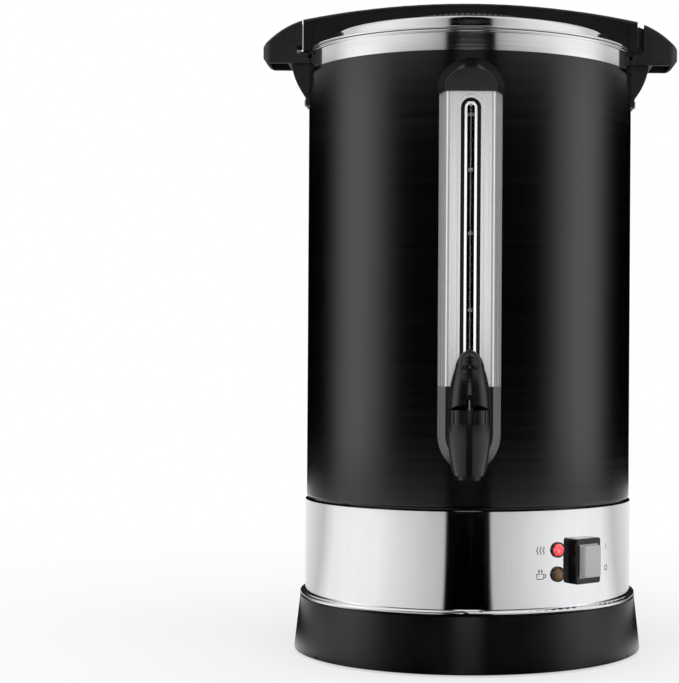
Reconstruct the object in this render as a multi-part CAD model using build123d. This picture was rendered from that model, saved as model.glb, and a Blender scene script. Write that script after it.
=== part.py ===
from build123d import *
import os
from math import asin, cos, radians, sin, sqrt

# Coffee urn: a double-walled steel body on a plastic base, a lid with a bayonet bar, a sight gauge
# with a lever tap below it, a switch with two lamps, and a percolator in the tank.
# Millimetres. The origin is on the table, on the body's axis. +Z is up and the tap faces -Y.

# Clearances
SNUG = 0.1
GAP = 0.3
RUNNING = 0.05

# Body
SHEET = 0.6
SHELL_RADIUS = 132.0
SHELL_LOW_Z = 122.5
SHELL_TOP_Z = 468.6
SHELL_CURL = 4.0
BAND_STEP = 1.0
COLLAR_HEIGHT = 13.4
COLLAR_INSET = 0.3
JOGGLE = 10.0

# Base
FOOT_STAND = 1.5
SKIRT_FLARE = 4.8
SKIRT_LIP = 3.8
SKIRT_TOP_Z = 44.2
SKIRT_WALL = 3.0
LEDGE_DROP = 6.2
LEDGE_THICKNESS = 3.0
NOTCH_WIDTH = 2.2
NOTCH_HEIGHT = 2.8
NOTCH_AZIMUTH = 63.5
TRIM_WIDTH = 4.0
TRIM_HEIGHT = 4.6
PLATE_Z = 6.0
PLATE_THICKNESS = 1.2
FOOT_RADIUS = 10.0
FOOT_CIRCLE = 116.0
BOSS_RADIUS = 4.5

# Tank
TANK_GAP = 7.0
FLOOR_Z = 132.0
FLOOR_FLANGE = 5.0
WELL_RADIUS = 26.0
WELL_DEPTH = 10.0
BEAD_HEIGHT = 2.2
BEAD_WIDTH = 2.0

# Lid
LID_PLUG = 10.0
LID_PLUG_GAP = 1.0
LID_FLANGE_LIFT = 0.5
LID_HEM = 1.6
LID_STEP_RADIUS = 115.0
LID_STEP_HEIGHT = 12.8
LID_BEND = 2.4
LID_CROWN = 2.2
LID_CROWN_RADIUS = 86.0

# Lid bar
BAR_HALF_WIDTH = 17.0
BAR_CROWN = 29.2
BAR_END_DROP = 14.7
BAR_MID_THICKNESS = 8.4
BAR_FOOT_LENGTH = 18.0
BAR_END_OVERHANG = 5.2
BAR_EDGE = 3.5
TAB_REACH = 3.3
TAB_THICKNESS = 2.8
TAB_WIDTH = 14.0
RIB_PITCH = 4.5
RIB_COUNT = 13

# Side handles
HANDLE_HALF_WIDTH = 20.0
HANDLE_REACH = 37.0
HANDLE_NOSE_HEIGHT = 8.0
HANDLE_NOSE_DROP = 3.0
GRIP_DROP = 8.0
HANDLE_WALL = 3.0
HANDLE_EDGE = 2.0
BAR_TO_HANDLE = 1.0
SLOT_DEPTH = 4.2
SLOT_HEIGHT = 6.2
GUSSET_HALF_WIDTH = 12.0
GUSSET_REACH = 14.0
GUSSET_HEIGHT = 26.5
LUG_HEIGHT = 6.6
LUG_THICKNESS = 2.4
SCREW_RADIUS = 1.5
SCREW_HEAD_RADIUS = 3.0
SCREW_HEAD_HEIGHT = 1.8
SCREW_BITE = 7.0
BASE_SCREW_BITE = 12.0

# Gauge column
COLUMN_DEPTH = 17.6
COLUMN_BACK_HALF = 23.8
COLUMN_FRONT_HALF = 17.7
COLUMN_EDGE = 3.0
COVER_SHEET = 1.0
COVER_LOW_Z = 216.6
COVER_TOP_Z = 434.9
CAP_RISE = 27.0
CAP_FRONT_RISE = 17.5
CAP_PROUD = 1.3
FOOT_HOUSING_LOW_Z = 152.3
WINDOW_TOP_Z = 430.0
WINDOW_LOW_Z = 224.0
LIP_WIDTH = 20.0
INSERT_WIDTH = 14.8
TRIM_OUTLINE = 9.4
WINDOW_WIDTH = 5.6
TUBE_RADIUS = 3.6
TUBE_WALL = 1.0

# Tap
TAP_REACH = 38.0
TAP_Z = 172.0
TAP_RADIUS = 16.0
SPOUT_LOW_RADIUS = 10.9
OUTLET_RADIUS = 6.5
SPOUT_LOW_Z = 152.2
SPOUT_LIP = 3.0
BONNET_LOW_Z = 189.9
BONNET_HEIGHT = 10.2
FLUTE_COUNT = 12
FLUTE_RADIUS = 0.8
SHANK_RADIUS = 7.0
SHANK_BORE = 4.2
CHAMBER_RADIUS = 11.8
SEAT_Z = 162.0
STEM_RADIUS = 3.0
STEM_BLADE = 4.6
PIN_RADIUS = 1.5
PIN_LIFT = 3.6
LEVER_HEIGHT = 44.2
LEVER_SLOT = 5.2
LEVER_LEAN = 6.0
LEVER_SWING = 26.0
LEVER_SLOT_HEIGHT = 11.2
SPRING_WIRE = 1.0
SPRING_TURNS = 5

# Lamps, switch and inlet
PANEL_Z = 83.2
LAMP_AZIMUTH = 30.7
LAMP_SPACING = 18.5
LENS_RADIUS = 4.7
LAMP_FLANGE_RADIUS = 5.9
SWITCH_AZIMUTH = 40.8
SWITCH_WIDTH = 25.8
SWITCH_HEIGHT = 34.6
SWITCH_PROUD = 8.0
BOOT_WIDTH = 17.2
BOOT_HEIGHT = 24.0
BOOT_PROUD = 5.2
ROCKER_TILT = 10.0
INLET_WIDTH = 32.0
INLET_HEIGHT = 26.0
INLET_PROUD = 3.0
INLET_RECESS = 18.0
PIN_LENGTH = 12.5

# Percolator
PUMP_RADIUS = 6.0
BASKET_RADIUS = 80.0
BASKET_LOW_Z = 386.0
BASKET_HEIGHT = 68.0

# Heater
HEATER_PLATE_RADIUS = 70.0
HEATER_PLATE_THICKNESS = 5.0
ELEMENT_RADIUS = 4.0
ELEMENT_CIRCLE = 48.0
TIE_CIRCLE = 62.0
TIE_RADIUS = 2.5
WARM_LOW_Z = 196.0
WARM_HEIGHT = 30.0
WARM_THICKNESS = 2.0
WIRE_RADIUS = 1.3

# Derived sizes
BAND_RADIUS = SHELL_RADIUS + BAND_STEP
SKIRT_TOP_RADIUS = BAND_RADIUS + SKIRT_LIP
SKIRT_LOW_RADIUS = SKIRT_TOP_RADIUS + SKIRT_FLARE
LEDGE_Z = SKIRT_TOP_Z - LEDGE_DROP
PLATE_TOP_Z = PLATE_Z + PLATE_THICKNESS
TANK_OUTER = SHELL_RADIUS - TANK_GAP
TANK_INNER = TANK_OUTER - SHEET
COLLAR_TOP_Z = SHELL_TOP_Z + COLLAR_HEIGHT
BEAD_RADIUS = BAND_RADIUS + 0.2
BEAD_TOP_Z = COLLAR_TOP_Z + BEAD_HEIGHT
LID_Z = BEAD_TOP_Z + LID_FLANGE_LIFT
LID_HEM_Z = LID_Z + LID_HEM
LID_TOP_Z = LID_Z + LID_STEP_HEIGHT
LID_RADIUS = BEAD_RADIUS + 0.1
BAR_TOP_Z = LID_TOP_Z + BAR_CROWN
BAR_END_RADIUS = SHELL_RADIUS + BAR_END_OVERHANG
BAR_END_Z = BAR_TOP_Z - BAR_END_DROP
BAR_FOOT_Z = LID_HEM_Z + GAP
BAR_ARCH_HALF = LID_STEP_RADIUS - BAR_FOOT_LENGTH
HANDLE_INNER = BAR_END_RADIUS + BAR_TO_HANDLE
HANDLE_OUTER = SHELL_RADIUS + HANDLE_REACH
HANDLE_TOP_Z = BAR_END_Z - 1.2
SLOT_LOW_Z = BEAD_TOP_Z
SLOT_TOP_Z = SLOT_LOW_Z + SLOT_HEIGHT
SLOT_RADIUS = HANDLE_INNER + SLOT_DEPTH
GRIP_LOW_Z = SLOT_LOW_Z - GRIP_DROP
LUG_LOW_Z = GRIP_LOW_Z - GUSSET_HEIGHT - LUG_HEIGHT
COLUMN_FRONT_Y = -(SHELL_RADIUS + COLUMN_DEPTH)
COLUMN_SLOPE = (COLUMN_BACK_HALF - COLUMN_FRONT_HALF) / (COLUMN_DEPTH + 2.2)
INSERT_BACK_Y = COLUMN_FRONT_Y + COVER_SHEET + 2.2
TUBE_Y = INSERT_BACK_Y + 0.6 + TUBE_RADIUS
TUBE_LOW_Z = TAP_Z + SHANK_RADIUS + 4.0
TUBE_TOP_Z = COVER_TOP_Z + 10.0
TAP_Y = -(SHELL_RADIUS + TAP_REACH)
BONNET_TOP_Z = BONNET_LOW_Z + BONNET_HEIGHT
PIN_Z = BONNET_TOP_Z + PIN_LIFT
WELL_Z = FLOOR_Z - WELL_DEPTH
HEATER_TOP_Z = FLOOR_Z - SHEET
HEATER_LOW_Z = HEATER_TOP_Z - HEATER_PLATE_THICKNESS
ROCKER_Y = -(BAND_RADIUS + 3.5)
SWITCH_FRONT_Y = -(BAND_RADIUS + SWITCH_PROUD)
BOSS_CIRCLE = BAND_RADIUS - 1.5


def outline(start, *steps):
    """A face in the XZ plane. A step is a point, or a pair of points for an arc through the first."""
    here = start
    edges = []
    for step in steps:
        if isinstance(step[0], tuple):
            through, end = step
            places = [(point[0], 0, point[1]) for point in (here, through, end)]
            edges.append(ThreePointArc(*places))
        else:
            end = step
            edges.append(Line((here[0], 0, here[1]), (end[0], 0, end[1])))
        here = end
    edges.append(Line((here[0], 0, here[1]), (start[0], 0, start[1])))
    return make_face(edges)


def turned(start, *steps):
    """A solid of revolution about Z from its half section, given as radius and height."""
    return revolve(outline(start, *steps), Axis.Z)


def rod(radius, low, high):
    return Pos(0, 0, (low + high) / 2) * Cylinder(radius, high - low)


def tube(outer, inner, low, high):
    return rod(outer, low, high) - rod(inner, low - 1, high + 1)


def block(x_low, x_high, y_low, y_high, z_low, z_high):
    size = Box(x_high - x_low, y_high - y_low, z_high - z_low)
    return Pos((x_low + x_high) / 2, (y_low + y_high) / 2, (z_low + z_high) / 2) * size


def rod_x(radius, x_low, x_high, y, z):
    return Pos((x_low + x_high) / 2, y, z) * Rot(0, 90, 0) * Cylinder(radius, x_high - x_low)


def rod_y(radius, y_low, y_high, x, z):
    return Pos(x, (y_low + y_high) / 2, z) * Rot(90, 0, 0) * Cylinder(radius, y_high - y_low)


def around(piece, angles):
    """Copies of a piece turned about Z, joined into one shape."""
    copies = [Rot(0, 0, angle) * piece for angle in angles]
    return copies[0] + copies[1:] if len(copies) > 1 else copies[0]


def both_sides(piece):
    """The piece and its copy on the opposite side of the urn."""
    return piece + Rot(0, 0, 180) * piece


def skirt_radius(z):
    """Outer radius of the flared base skirt at a height."""
    return SKIRT_TOP_RADIUS + SKIRT_FLARE * (SKIRT_TOP_Z - z) / (SKIRT_TOP_Z - FOOT_STAND)


def stadium(width, low, high, front, back):
    """A bar with round ends, standing in the gauge window."""
    face = Plane.XZ.offset(-front) * Pos(0, (low + high) / 2) * SlotOverall(high - low, width, rotation=90)
    return extrude(face, -(back - front))


def screw_out(x, y, z, length):
    """A pan head screw whose shank points along +X and whose head ends at x."""
    head = rod_x(SCREW_HEAD_RADIUS, x - SCREW_HEAD_HEIGHT, x, y, z)
    return head + rod_x(SCREW_RADIUS, x, x + length, y, z)


# Base

SCREW_ANGLES = (0, 90, 180, 270)
FOOT_ANGLES = (45, 135, 225, 315)
TIE_ANGLES = (90, 210, 330)


def base_skirt():
    bore = BAND_RADIUS + SNUG
    ledge_inner = BAND_RADIUS - 4.0
    under = LEDGE_Z - LEDGE_THICKNESS
    body = turned(
        (SKIRT_LOW_RADIUS, FOOT_STAND),
        (SKIRT_TOP_RADIUS, SKIRT_TOP_Z),
        (bore, SKIRT_TOP_Z),
        (bore, LEDGE_Z),
        (ledge_inner, LEDGE_Z),
        (ledge_inner, under),
        (skirt_radius(under) - SKIRT_WALL, under),
        (SKIRT_LOW_RADIUS - SKIRT_WALL, FOOT_STAND),
    )
    outer_edges = body.edges().filter_by(GeomType.CIRCLE).sort_by(SortBy.RADIUS)[-1:]
    body = fillet(outer_edges, 0.8)
    boss = Pos(BOSS_CIRCLE, 0, 0) * rod(BOSS_RADIUS, PLATE_TOP_Z, under + 1)
    pilot_top = PLATE_TOP_Z + BASE_SCREW_BITE + 2
    pilot = Pos(BOSS_CIRCLE, 0, 0) * rod(SCREW_RADIUS + SNUG, PLATE_TOP_Z - 1, pilot_top)
    notch_back = SKIRT_WALL + 2 - SKIRT_LOW_RADIUS
    notch = block(-NOTCH_WIDTH / 2, NOTCH_WIDTH / 2, -SKIRT_LOW_RADIUS - 1, notch_back,
                  0, FOOT_STAND + NOTCH_HEIGHT)
    body = body + around(boss, SCREW_ANGLES)
    body = body - around(pilot, SCREW_ANGLES)
    return body - around(notch, (NOTCH_AZIMUTH, NOTCH_AZIMUTH + 120, NOTCH_AZIMUTH + 240))


def base_plate():
    plate = rod(skirt_radius(PLATE_TOP_Z) - SKIRT_WALL - GAP, PLATE_Z, PLATE_TOP_Z)
    screw_hole = Pos(BOSS_CIRCLE, 0, 0) * rod(SCREW_RADIUS + SNUG, 0, 20)
    tie_hole = Pos(TIE_CIRCLE, 0, 0) * rod(TIE_RADIUS + SNUG, 0, 20)
    peg_hole = Pos(FOOT_CIRCLE, 0, 0) * rod(FOOT_RADIUS * 0.3, 0, 20)
    vent = Pos(FOOT_CIRCLE * 0.76, 0, PLATE_Z) * extrude(SlotOverall(30, 4), 4, both=True)
    plate = plate - around(screw_hole, SCREW_ANGLES) - around(tie_hole, TIE_ANGLES)
    return plate - around(peg_hole, FOOT_ANGLES) - around(vent, [10 + 40 * i for i in range(9)])


def base_screws():
    head = rod(SCREW_HEAD_RADIUS, PLATE_Z - SCREW_HEAD_HEIGHT, PLATE_Z)
    screw = head + rod(SCREW_RADIUS, PLATE_Z, PLATE_TOP_Z + BASE_SCREW_BITE)
    return around(Pos(BOSS_CIRCLE, 0, 0) * screw, SCREW_ANGLES)


def rubber_feet():
    pad = rod(FOOT_RADIUS, 0, PLATE_Z)
    pad = chamfer(pad.edges().group_by(Axis.Z)[0], 1.0)
    foot = pad + rod(FOOT_RADIUS * 0.3 - SNUG, PLATE_Z, PLATE_TOP_Z + 2)
    return around(Pos(FOOT_CIRCLE, 0, 0) * foot, FOOT_ANGLES)


def trim_ring():
    ring = tube(BAND_RADIUS + TRIM_WIDTH, BAND_RADIUS + SNUG, SKIRT_TOP_Z, SKIRT_TOP_Z + TRIM_HEIGHT)
    rims = ring.edges().filter_by(GeomType.CIRCLE).sort_by(SortBy.RADIUS)[-2:]
    return fillet(rims, TRIM_HEIGHT * 0.4)


def panel_hole(width, height, azimuth):
    return Rot(0, 0, azimuth) * block(-width / 2, width / 2, -BAND_RADIUS - 9, -BAND_RADIUS + 9,
                                      PANEL_Z - height / 2, PANEL_Z + height / 2)


def control_band():
    top = SHELL_LOW_Z - SNUG
    lip = SHELL_RADIUS - SHELL_CURL - SHEET
    band = turned(
        (BAND_RADIUS, LEDGE_Z),
        (BAND_RADIUS, top),
        (lip, top),
        (lip, top + 8),
        (lip - SHEET, top + 8),
        (lip - SHEET, top - SHEET),
        (BAND_RADIUS - SHEET, top - SHEET),
        (BAND_RADIUS - SHEET, LEDGE_Z),
    )
    band = band - panel_hole(SWITCH_WIDTH - 4, SWITCH_HEIGHT - 5, SWITCH_AZIMUTH)
    band = band - panel_hole(INLET_WIDTH - 5, INLET_HEIGHT - 6, 180)
    for side in (-1, 1):
        lamp_z = PANEL_Z + side * LAMP_SPACING / 2
        hole = rod_y(LENS_RADIUS + 0.5, -BAND_RADIUS - 5, -BAND_RADIUS + 5, 0, lamp_z)
        band = band - Rot(0, 0, LAMP_AZIMUTH) * hole
    return band


# Body and tank

def outer_shell():
    inner = SHELL_RADIUS - SHEET
    curl = SHELL_CURL
    turn = sqrt(0.5)
    low = SHELL_LOW_Z
    shell = turned(
        (SHELL_RADIUS, SHELL_TOP_Z),
        (SHELL_RADIUS, low + curl),
        ((SHELL_RADIUS - curl * (1 - turn), low + curl * (1 - turn)), (SHELL_RADIUS - curl, low)),
        (SHELL_RADIUS - curl, low + SHEET),
        ((inner - (curl - SHEET) * (1 - turn), low + SHEET + (curl - SHEET) * (1 - turn)),
         (inner, low + curl)),
        (inner, SHELL_TOP_Z),
    )
    shell = shell - rod_y(SHANK_RADIUS + SNUG, -SHELL_RADIUS - 9, -SHELL_RADIUS + 9, 0, TAP_Z)
    for x, z in GAUGE_SCREW_PLACES:
        shell = shell - rod_y(SCREW_RADIUS + SNUG, -SHELL_RADIUS - 9, -SHELL_RADIUS + 9, x, z)
    holes = [rod_x(SCREW_RADIUS + SNUG, SHELL_RADIUS - 9, SHELL_RADIUS + 9, y, z)
             for y, z in HANDLE_SCREW_PLACES]
    return shell - both_sides(holes[0] + holes[1:])


def rim_collar():
    outer = SHELL_RADIUS - COLLAR_INSET
    joggle = SHELL_RADIUS - SHEET - SNUG
    return turned(
        (outer, SHELL_TOP_Z + SNUG),
        (outer, COLLAR_TOP_Z),
        (joggle - SHEET, COLLAR_TOP_Z),
        (joggle - SHEET, SHELL_TOP_Z - JOGGLE),
        (joggle, SHELL_TOP_Z - JOGGLE),
        (joggle, SHELL_TOP_Z + SNUG),
    )


def tank():
    bead_inner = BEAD_RADIUS - BEAD_WIDTH
    wall = turned(
        (TANK_OUTER, FLOOR_Z - FLOOR_FLANGE),
        (TANK_OUTER, COLLAR_TOP_Z),
        (BEAD_RADIUS, COLLAR_TOP_Z),
        (BEAD_RADIUS, BEAD_TOP_Z),
        (bead_inner, BEAD_TOP_Z),
        (bead_inner, COLLAR_TOP_Z + SHEET),
        (TANK_INNER, COLLAR_TOP_Z + SHEET),
        (TANK_INNER, FLOOR_Z - FLOOR_FLANGE),
    )
    rings = wall.edges().filter_by(GeomType.CIRCLE)
    bead = [edge for edge in rings if abs(edge.radius - BEAD_RADIUS) < 0.01]
    wall = fillet(bead, BEAD_HEIGHT * 0.4)
    return wall - rod_y(SHANK_RADIUS + SNUG, -SHELL_RADIUS, -TANK_INNER + 20, 0, TAP_Z)


def tank_floor():
    rim = TANK_INNER - SNUG / 2
    return turned(
        (0, WELL_Z - SHEET),
        (WELL_RADIUS + SHEET, WELL_Z - SHEET),
        (WELL_RADIUS + SHEET, FLOOR_Z - SHEET),
        (rim - SHEET, FLOOR_Z - SHEET),
        (rim - SHEET, FLOOR_Z - FLOOR_FLANGE),
        (rim, FLOOR_Z - FLOOR_FLANGE),
        (rim, FLOOR_Z),
        (WELL_RADIUS, FLOOR_Z),
        (WELL_RADIUS, WELL_Z),
        (0, WELL_Z),
    )


# Lid

def lid_cover():
    plug = TANK_INNER - LID_PLUG_GAP
    hem_inner = LID_RADIUS - 2.0
    crown = LID_TOP_Z + LID_CROWN
    inner_top = LID_TOP_Z - SHEET
    dome_radius = (LID_CROWN_RADIUS ** 2 + LID_CROWN ** 2) / (2 * LID_CROWN)
    half_angle = asin(LID_CROWN_RADIUS / dome_radius) / 2
    half_x = dome_radius * sin(half_angle)
    half_z = LID_CROWN - dome_radius * (1 - cos(half_angle))
    bend = LID_BEND
    bend_radius = LID_STEP_RADIUS - bend
    bend_z = LID_TOP_Z - bend
    turn = sqrt(0.5)
    inner_bend = bend - SHEET
    lid = turned(
        (0, crown),
        ((half_x, LID_TOP_Z + half_z), (LID_CROWN_RADIUS, LID_TOP_Z)),
        (bend_radius, LID_TOP_Z),
        ((bend_radius + bend * turn, bend_z + bend * turn), (LID_STEP_RADIUS, bend_z)),
        (LID_STEP_RADIUS, LID_Z + SHEET),
        (hem_inner, LID_Z + SHEET),
        (hem_inner, LID_HEM_Z),
        (LID_RADIUS, LID_HEM_Z),
        (LID_RADIUS, LID_Z),
        (plug, LID_Z),
        (plug, LID_Z - LID_PLUG),
        (plug - SHEET, LID_Z - LID_PLUG),
        (plug - SHEET, LID_Z),
        (LID_STEP_RADIUS - SHEET, LID_Z),
        (LID_STEP_RADIUS - SHEET, bend_z),
        ((bend_radius + inner_bend * turn, bend_z + inner_bend * turn), (bend_radius, inner_top)),
        (LID_CROWN_RADIUS, inner_top),
        ((half_x, inner_top + half_z), (0, crown - SHEET)),
    )
    hem = [edge for edge in lid.edges().filter_by(GeomType.CIRCLE) if abs(edge.radius - LID_RADIUS) < 0.01]
    lid = fillet(hem, LID_HEM * 0.35)
    for x, y in BAR_SCREW_PLACES:
        lid = lid - Pos(x, y, 0) * rod(SCREW_RADIUS + SNUG, LID_TOP_Z - 9, LID_TOP_Z + 9)
    return lid


def lid_gasket():
    low = COLLAR_TOP_Z + SHEET
    return tube(BEAD_RADIUS - BEAD_WIDTH - GAP, TANK_INNER - 0.4, low, LID_Z)


BAR_SCREW_X = (BAR_ARCH_HALF + LID_STEP_RADIUS) / 2 - 1
BAR_SCREW_PLACES = [(side * BAR_SCREW_X, across * BAR_HALF_WIDTH / 2)
                    for side in (-1, 1) for across in (-1, 1)]


def lid_bar():
    end = BAR_END_RADIUS + 2
    under = BAR_TOP_Z - BAR_MID_THICKNESS
    half_top = outline(
        (-end, BAR_END_Z),
        ((0, BAR_TOP_Z), (end, BAR_END_Z)),
        (end, BAR_FOOT_Z),
        (BAR_ARCH_HALF, BAR_FOOT_Z),
        (BAR_ARCH_HALF, LID_TOP_Z),
        ((0, under), (-BAR_ARCH_HALF, LID_TOP_Z)),
        (-BAR_ARCH_HALF, BAR_FOOT_Z),
        (-end, BAR_FOOT_Z),
    )
    bar = extrude(half_top, BAR_HALF_WIDTH, both=True)
    crest = [edge for edge in bar.edges().filter_by(GeomType.CIRCLE) if edge.center().Z > BAR_END_Z - 1]
    crest = [edge for edge in crest if edge.radius > BAR_END_RADIUS * 2]
    bar = fillet(crest, BAR_EDGE)
    bar = bar - rod(LID_STEP_RADIUS + SNUG, BAR_FOOT_Z - 5, LID_TOP_Z)
    bar = bar & rod(BAR_END_RADIUS, BAR_FOOT_Z - 9, BAR_TOP_Z + 9)
    rib_z = under - 0.3
    for i in range(RIB_COUNT):
        x = (i - (RIB_COUNT - 1) / 2) * RIB_PITCH
        sag = x * x / (2 * 250)
        bar = bar + Pos(x, 0, rib_z - sag) * Rot(90, 0, 0) * Cylinder(0.8, BAR_HALF_WIDTH * 1.9)
    web = block(BAR_END_RADIUS - 8, BAR_END_RADIUS + 2, -BAR_HALF_WIDTH - 1.2, BAR_HALF_WIDTH + 1.2,
                BAR_FOOT_Z, BAR_END_Z - 2.5)
    web = web & rod(BAR_END_RADIUS, BAR_FOOT_Z - 9, BAR_TOP_Z + 9)
    tab_ring = tube(BAR_END_RADIUS + TAB_REACH, BAR_END_RADIUS - 4, BAR_FOOT_Z, BAR_FOOT_Z + TAB_THICKNESS)
    tab_end = TAB_WIDTH - BAR_HALF_WIDTH
    tab = tab_ring & block(BAR_END_RADIUS - 8, BAR_END_RADIUS + 9, -BAR_HALF_WIDTH, tab_end,
                           BAR_FOOT_Z - 9, BAR_FOOT_Z + 9)
    bar = bar + both_sides(web) + both_sides(tab)
    for x, y in BAR_SCREW_PLACES:
        bar = bar - Pos(x, y, 0) * rod(SCREW_RADIUS + SNUG, LID_TOP_Z - 9, LID_TOP_Z + SCREW_BITE + 1)
    return bar


def lid_bar_screws():
    seat = LID_TOP_Z - SHEET
    screw = rod(SCREW_HEAD_RADIUS, seat - SCREW_HEAD_HEIGHT, seat)
    screw = screw + rod(SCREW_RADIUS, seat, LID_TOP_Z + SCREW_BITE)
    screws = [Pos(x, y, 0) * screw for x, y in BAR_SCREW_PLACES]
    return screws[0] + screws[1:]


# Side handles. The right one is drawn, and the left one is the same piece turned half round.

LUG_SCREW_Z = LUG_LOW_Z + LUG_HEIGHT / 2
PLATE_SCREW_Z = GRIP_LOW_Z - GUSSET_HEIGHT * 0.82
HANDLE_SCREW_PLACES = [(0, LUG_SCREW_Z), (-GUSSET_HALF_WIDTH * 0.6, PLATE_SCREW_Z),
                       (GUSSET_HALF_WIDTH * 0.6, PLATE_SCREW_Z)]


def right_handle():
    inside = SHELL_RADIUS - 8
    nose_low = SLOT_LOW_Z - HANDLE_NOSE_DROP
    nose_curve = (nose_low - GRIP_LOW_Z) * 0.7
    nose_high = nose_low + HANDLE_NOSE_HEIGHT
    shoulder = ((HANDLE_INNER + HANDLE_OUTER) / 2 + 1.5, HANDLE_TOP_Z - 8.6)
    grip_face = outline(
        (inside, HANDLE_TOP_Z),
        (HANDLE_INNER, HANDLE_TOP_Z),
        (shoulder, (HANDLE_OUTER - 2, nose_high + 2.5)),
        (HANDLE_OUTER, nose_high),
        (HANDLE_OUTER, nose_low),
        ((HANDLE_OUTER - 2.6, nose_low - nose_curve), (HANDLE_OUTER - 8, GRIP_LOW_Z)),
        (inside, GRIP_LOW_Z),
    )
    grip = extrude(grip_face, HANDLE_HALF_WIDTH, both=True)
    arcs = grip.edges().filter_by(GeomType.CIRCLE)
    shoulder_edges = [edge for edge in arcs if edge.center().Z > nose_high]
    grip = fillet(shoulder_edges, HANDLE_EDGE)
    plan = block(inside, HANDLE_OUTER, -HANDLE_HALF_WIDTH, HANDLE_HALF_WIDTH, GRIP_LOW_Z - 9, BAR_TOP_Z)
    grip = grip & fillet(plan.edges().filter_by(Axis.Z).sort_by(Axis.X)[-2:], HANDLE_HALF_WIDTH * 0.4)

    wall = HANDLE_WALL
    pocket_inner = SHELL_RADIUS + GUSSET_REACH + 2.5
    pocket_face = outline(
        (pocket_inner, GRIP_LOW_Z - 5),
        (pocket_inner, HANDLE_TOP_Z - 8.5),
        ((shoulder[0] - wall * 0.4, shoulder[1] - wall * 1.1), (HANDLE_OUTER - 2 - wall * 1.4, nose_high)),
        (HANDLE_OUTER - wall, nose_low),
        (HANDLE_OUTER - wall - 5, GRIP_LOW_Z - 5),
    )
    grip = grip - extrude(pocket_face, HANDLE_HALF_WIDTH - wall, both=True)
    for y in (-HANDLE_HALF_WIDTH * 0.32, HANDLE_HALF_WIDTH * 0.32):
        rib = block(pocket_inner - 1, HANDLE_OUTER - wall, y - 0.8, y + 0.8, nose_high, HANDLE_TOP_Z)
        grip = grip + (rib & extrude(grip_face, HANDLE_HALF_WIDTH - 1, both=True))

    gusset_face = outline(
        (inside, GRIP_LOW_Z + 1),
        (SHELL_RADIUS + GUSSET_REACH, GRIP_LOW_Z + 1),
        ((SHELL_RADIUS + GUSSET_REACH * 0.74, GRIP_LOW_Z - GUSSET_HEIGHT * 0.5),
         (SHELL_RADIUS + LUG_THICKNESS, GRIP_LOW_Z - GUSSET_HEIGHT)),
        (SHELL_RADIUS + LUG_THICKNESS, LUG_LOW_Z),
        (inside, LUG_LOW_Z),
    )
    gusset = extrude(gusset_face, GUSSET_HALF_WIDTH, both=True)
    pad_low = GRIP_LOW_Z - GUSSET_HEIGHT * 0.9
    pad_half = HANDLE_HALF_WIDTH * 0.8
    pad_ring = tube(SHELL_RADIUS + LUG_THICKNESS * 1.5, inside, pad_low, GRIP_LOW_Z + 1)
    pad = pad_ring & block(inside, HANDLE_OUTER, -pad_half, pad_half, 0, BAR_TOP_Z)
    handle = grip + gusset + pad

    handle = handle - rod(SHELL_RADIUS + SNUG / 2, 0, SLOT_LOW_Z - 3)
    handle = handle - rod(BEAD_RADIUS + GAP, SLOT_LOW_Z - 4, SLOT_LOW_Z + 1)
    handle = handle - rod(SLOT_RADIUS, SLOT_LOW_Z, SLOT_TOP_Z)
    handle = handle - rod(HANDLE_INNER, SLOT_LOW_Z, BAR_TOP_Z)
    entry = rod(SLOT_RADIUS, SLOT_LOW_Z, BAR_TOP_Z)
    entry_end = TAB_WIDTH - BAR_HALF_WIDTH + 1.5
    entry = entry & block(0, HANDLE_OUTER, -HANDLE_HALF_WIDTH * 2, entry_end, 0, BAR_TOP_Z + 9)
    handle = handle - entry
    for y, z in HANDLE_SCREW_PLACES:
        depth = LUG_THICKNESS + 1 if z == LUG_SCREW_Z else 4.0
        handle = handle - rod_x(SCREW_RADIUS + SNUG, SHELL_RADIUS - 9, SHELL_RADIUS + depth, y, z)
    return handle


def left_handle():
    return Rot(0, 0, 180) * right_handle()


def handle_screws():
    screws = []
    for y, z in HANDLE_SCREW_PLACES[1:]:
        seat = sqrt((SHELL_RADIUS - SHEET) ** 2 - (abs(y) + SCREW_HEAD_RADIUS) ** 2) - SNUG
        screws.append(screw_out(seat, y, z, SHELL_RADIUS + 3.5 - seat))
    return both_sides(screws[0] + screws[1:])


def lug_screws():
    seat = SHELL_RADIUS + LUG_THICKNESS
    screw = rod_x(SCREW_HEAD_RADIUS, seat, seat + SCREW_HEAD_HEIGHT, 0, LUG_SCREW_Z)
    screw = fillet(screw.edges().sort_by(Axis.X)[-1:], 0.8)
    return both_sides(screw + rod_x(SCREW_RADIUS, SHELL_RADIUS - 4, seat, 0, LUG_SCREW_Z))


# Gauge column

CAP_SCREW_Z = COVER_TOP_Z + 15.5
FOOT_SCREW_Z = COVER_LOW_Z - 10
GAUGE_SCREW_PLACES = [(0, CAP_SCREW_Z), (-COLUMN_FRONT_HALF * 0.75, FOOT_SCREW_Z),
                      (COLUMN_FRONT_HALF * 0.75, FOOT_SCREW_Z)]


def column(low, high, inset):
    """The gauge column's section, drawn in by an inset, between two heights."""
    front_y = COLUMN_FRONT_Y + inset
    back_y = -SHELL_RADIUS + 12
    side_inset = inset * sqrt(1 + COLUMN_SLOPE ** 2)
    front_half = COLUMN_FRONT_HALF + COLUMN_SLOPE * inset - side_inset
    back_half = front_half + COLUMN_SLOPE * (back_y - front_y)
    points = [(-back_half, back_y), (back_half, back_y), (front_half, front_y), (-front_half, front_y)]
    face = make_face(Polyline(*points, close=True))
    face = fillet(face.vertices().sort_by(Axis.Y)[:2], COLUMN_EDGE - inset)
    return extrude(Pos(0, 0, low) * face, high - low)


def off_shell():
    """What lies inside the outer face of the shell, to trim a piece that stands on it."""
    return rod(SHELL_RADIUS + SNUG / 2, 0, BAR_TOP_Z)


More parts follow.
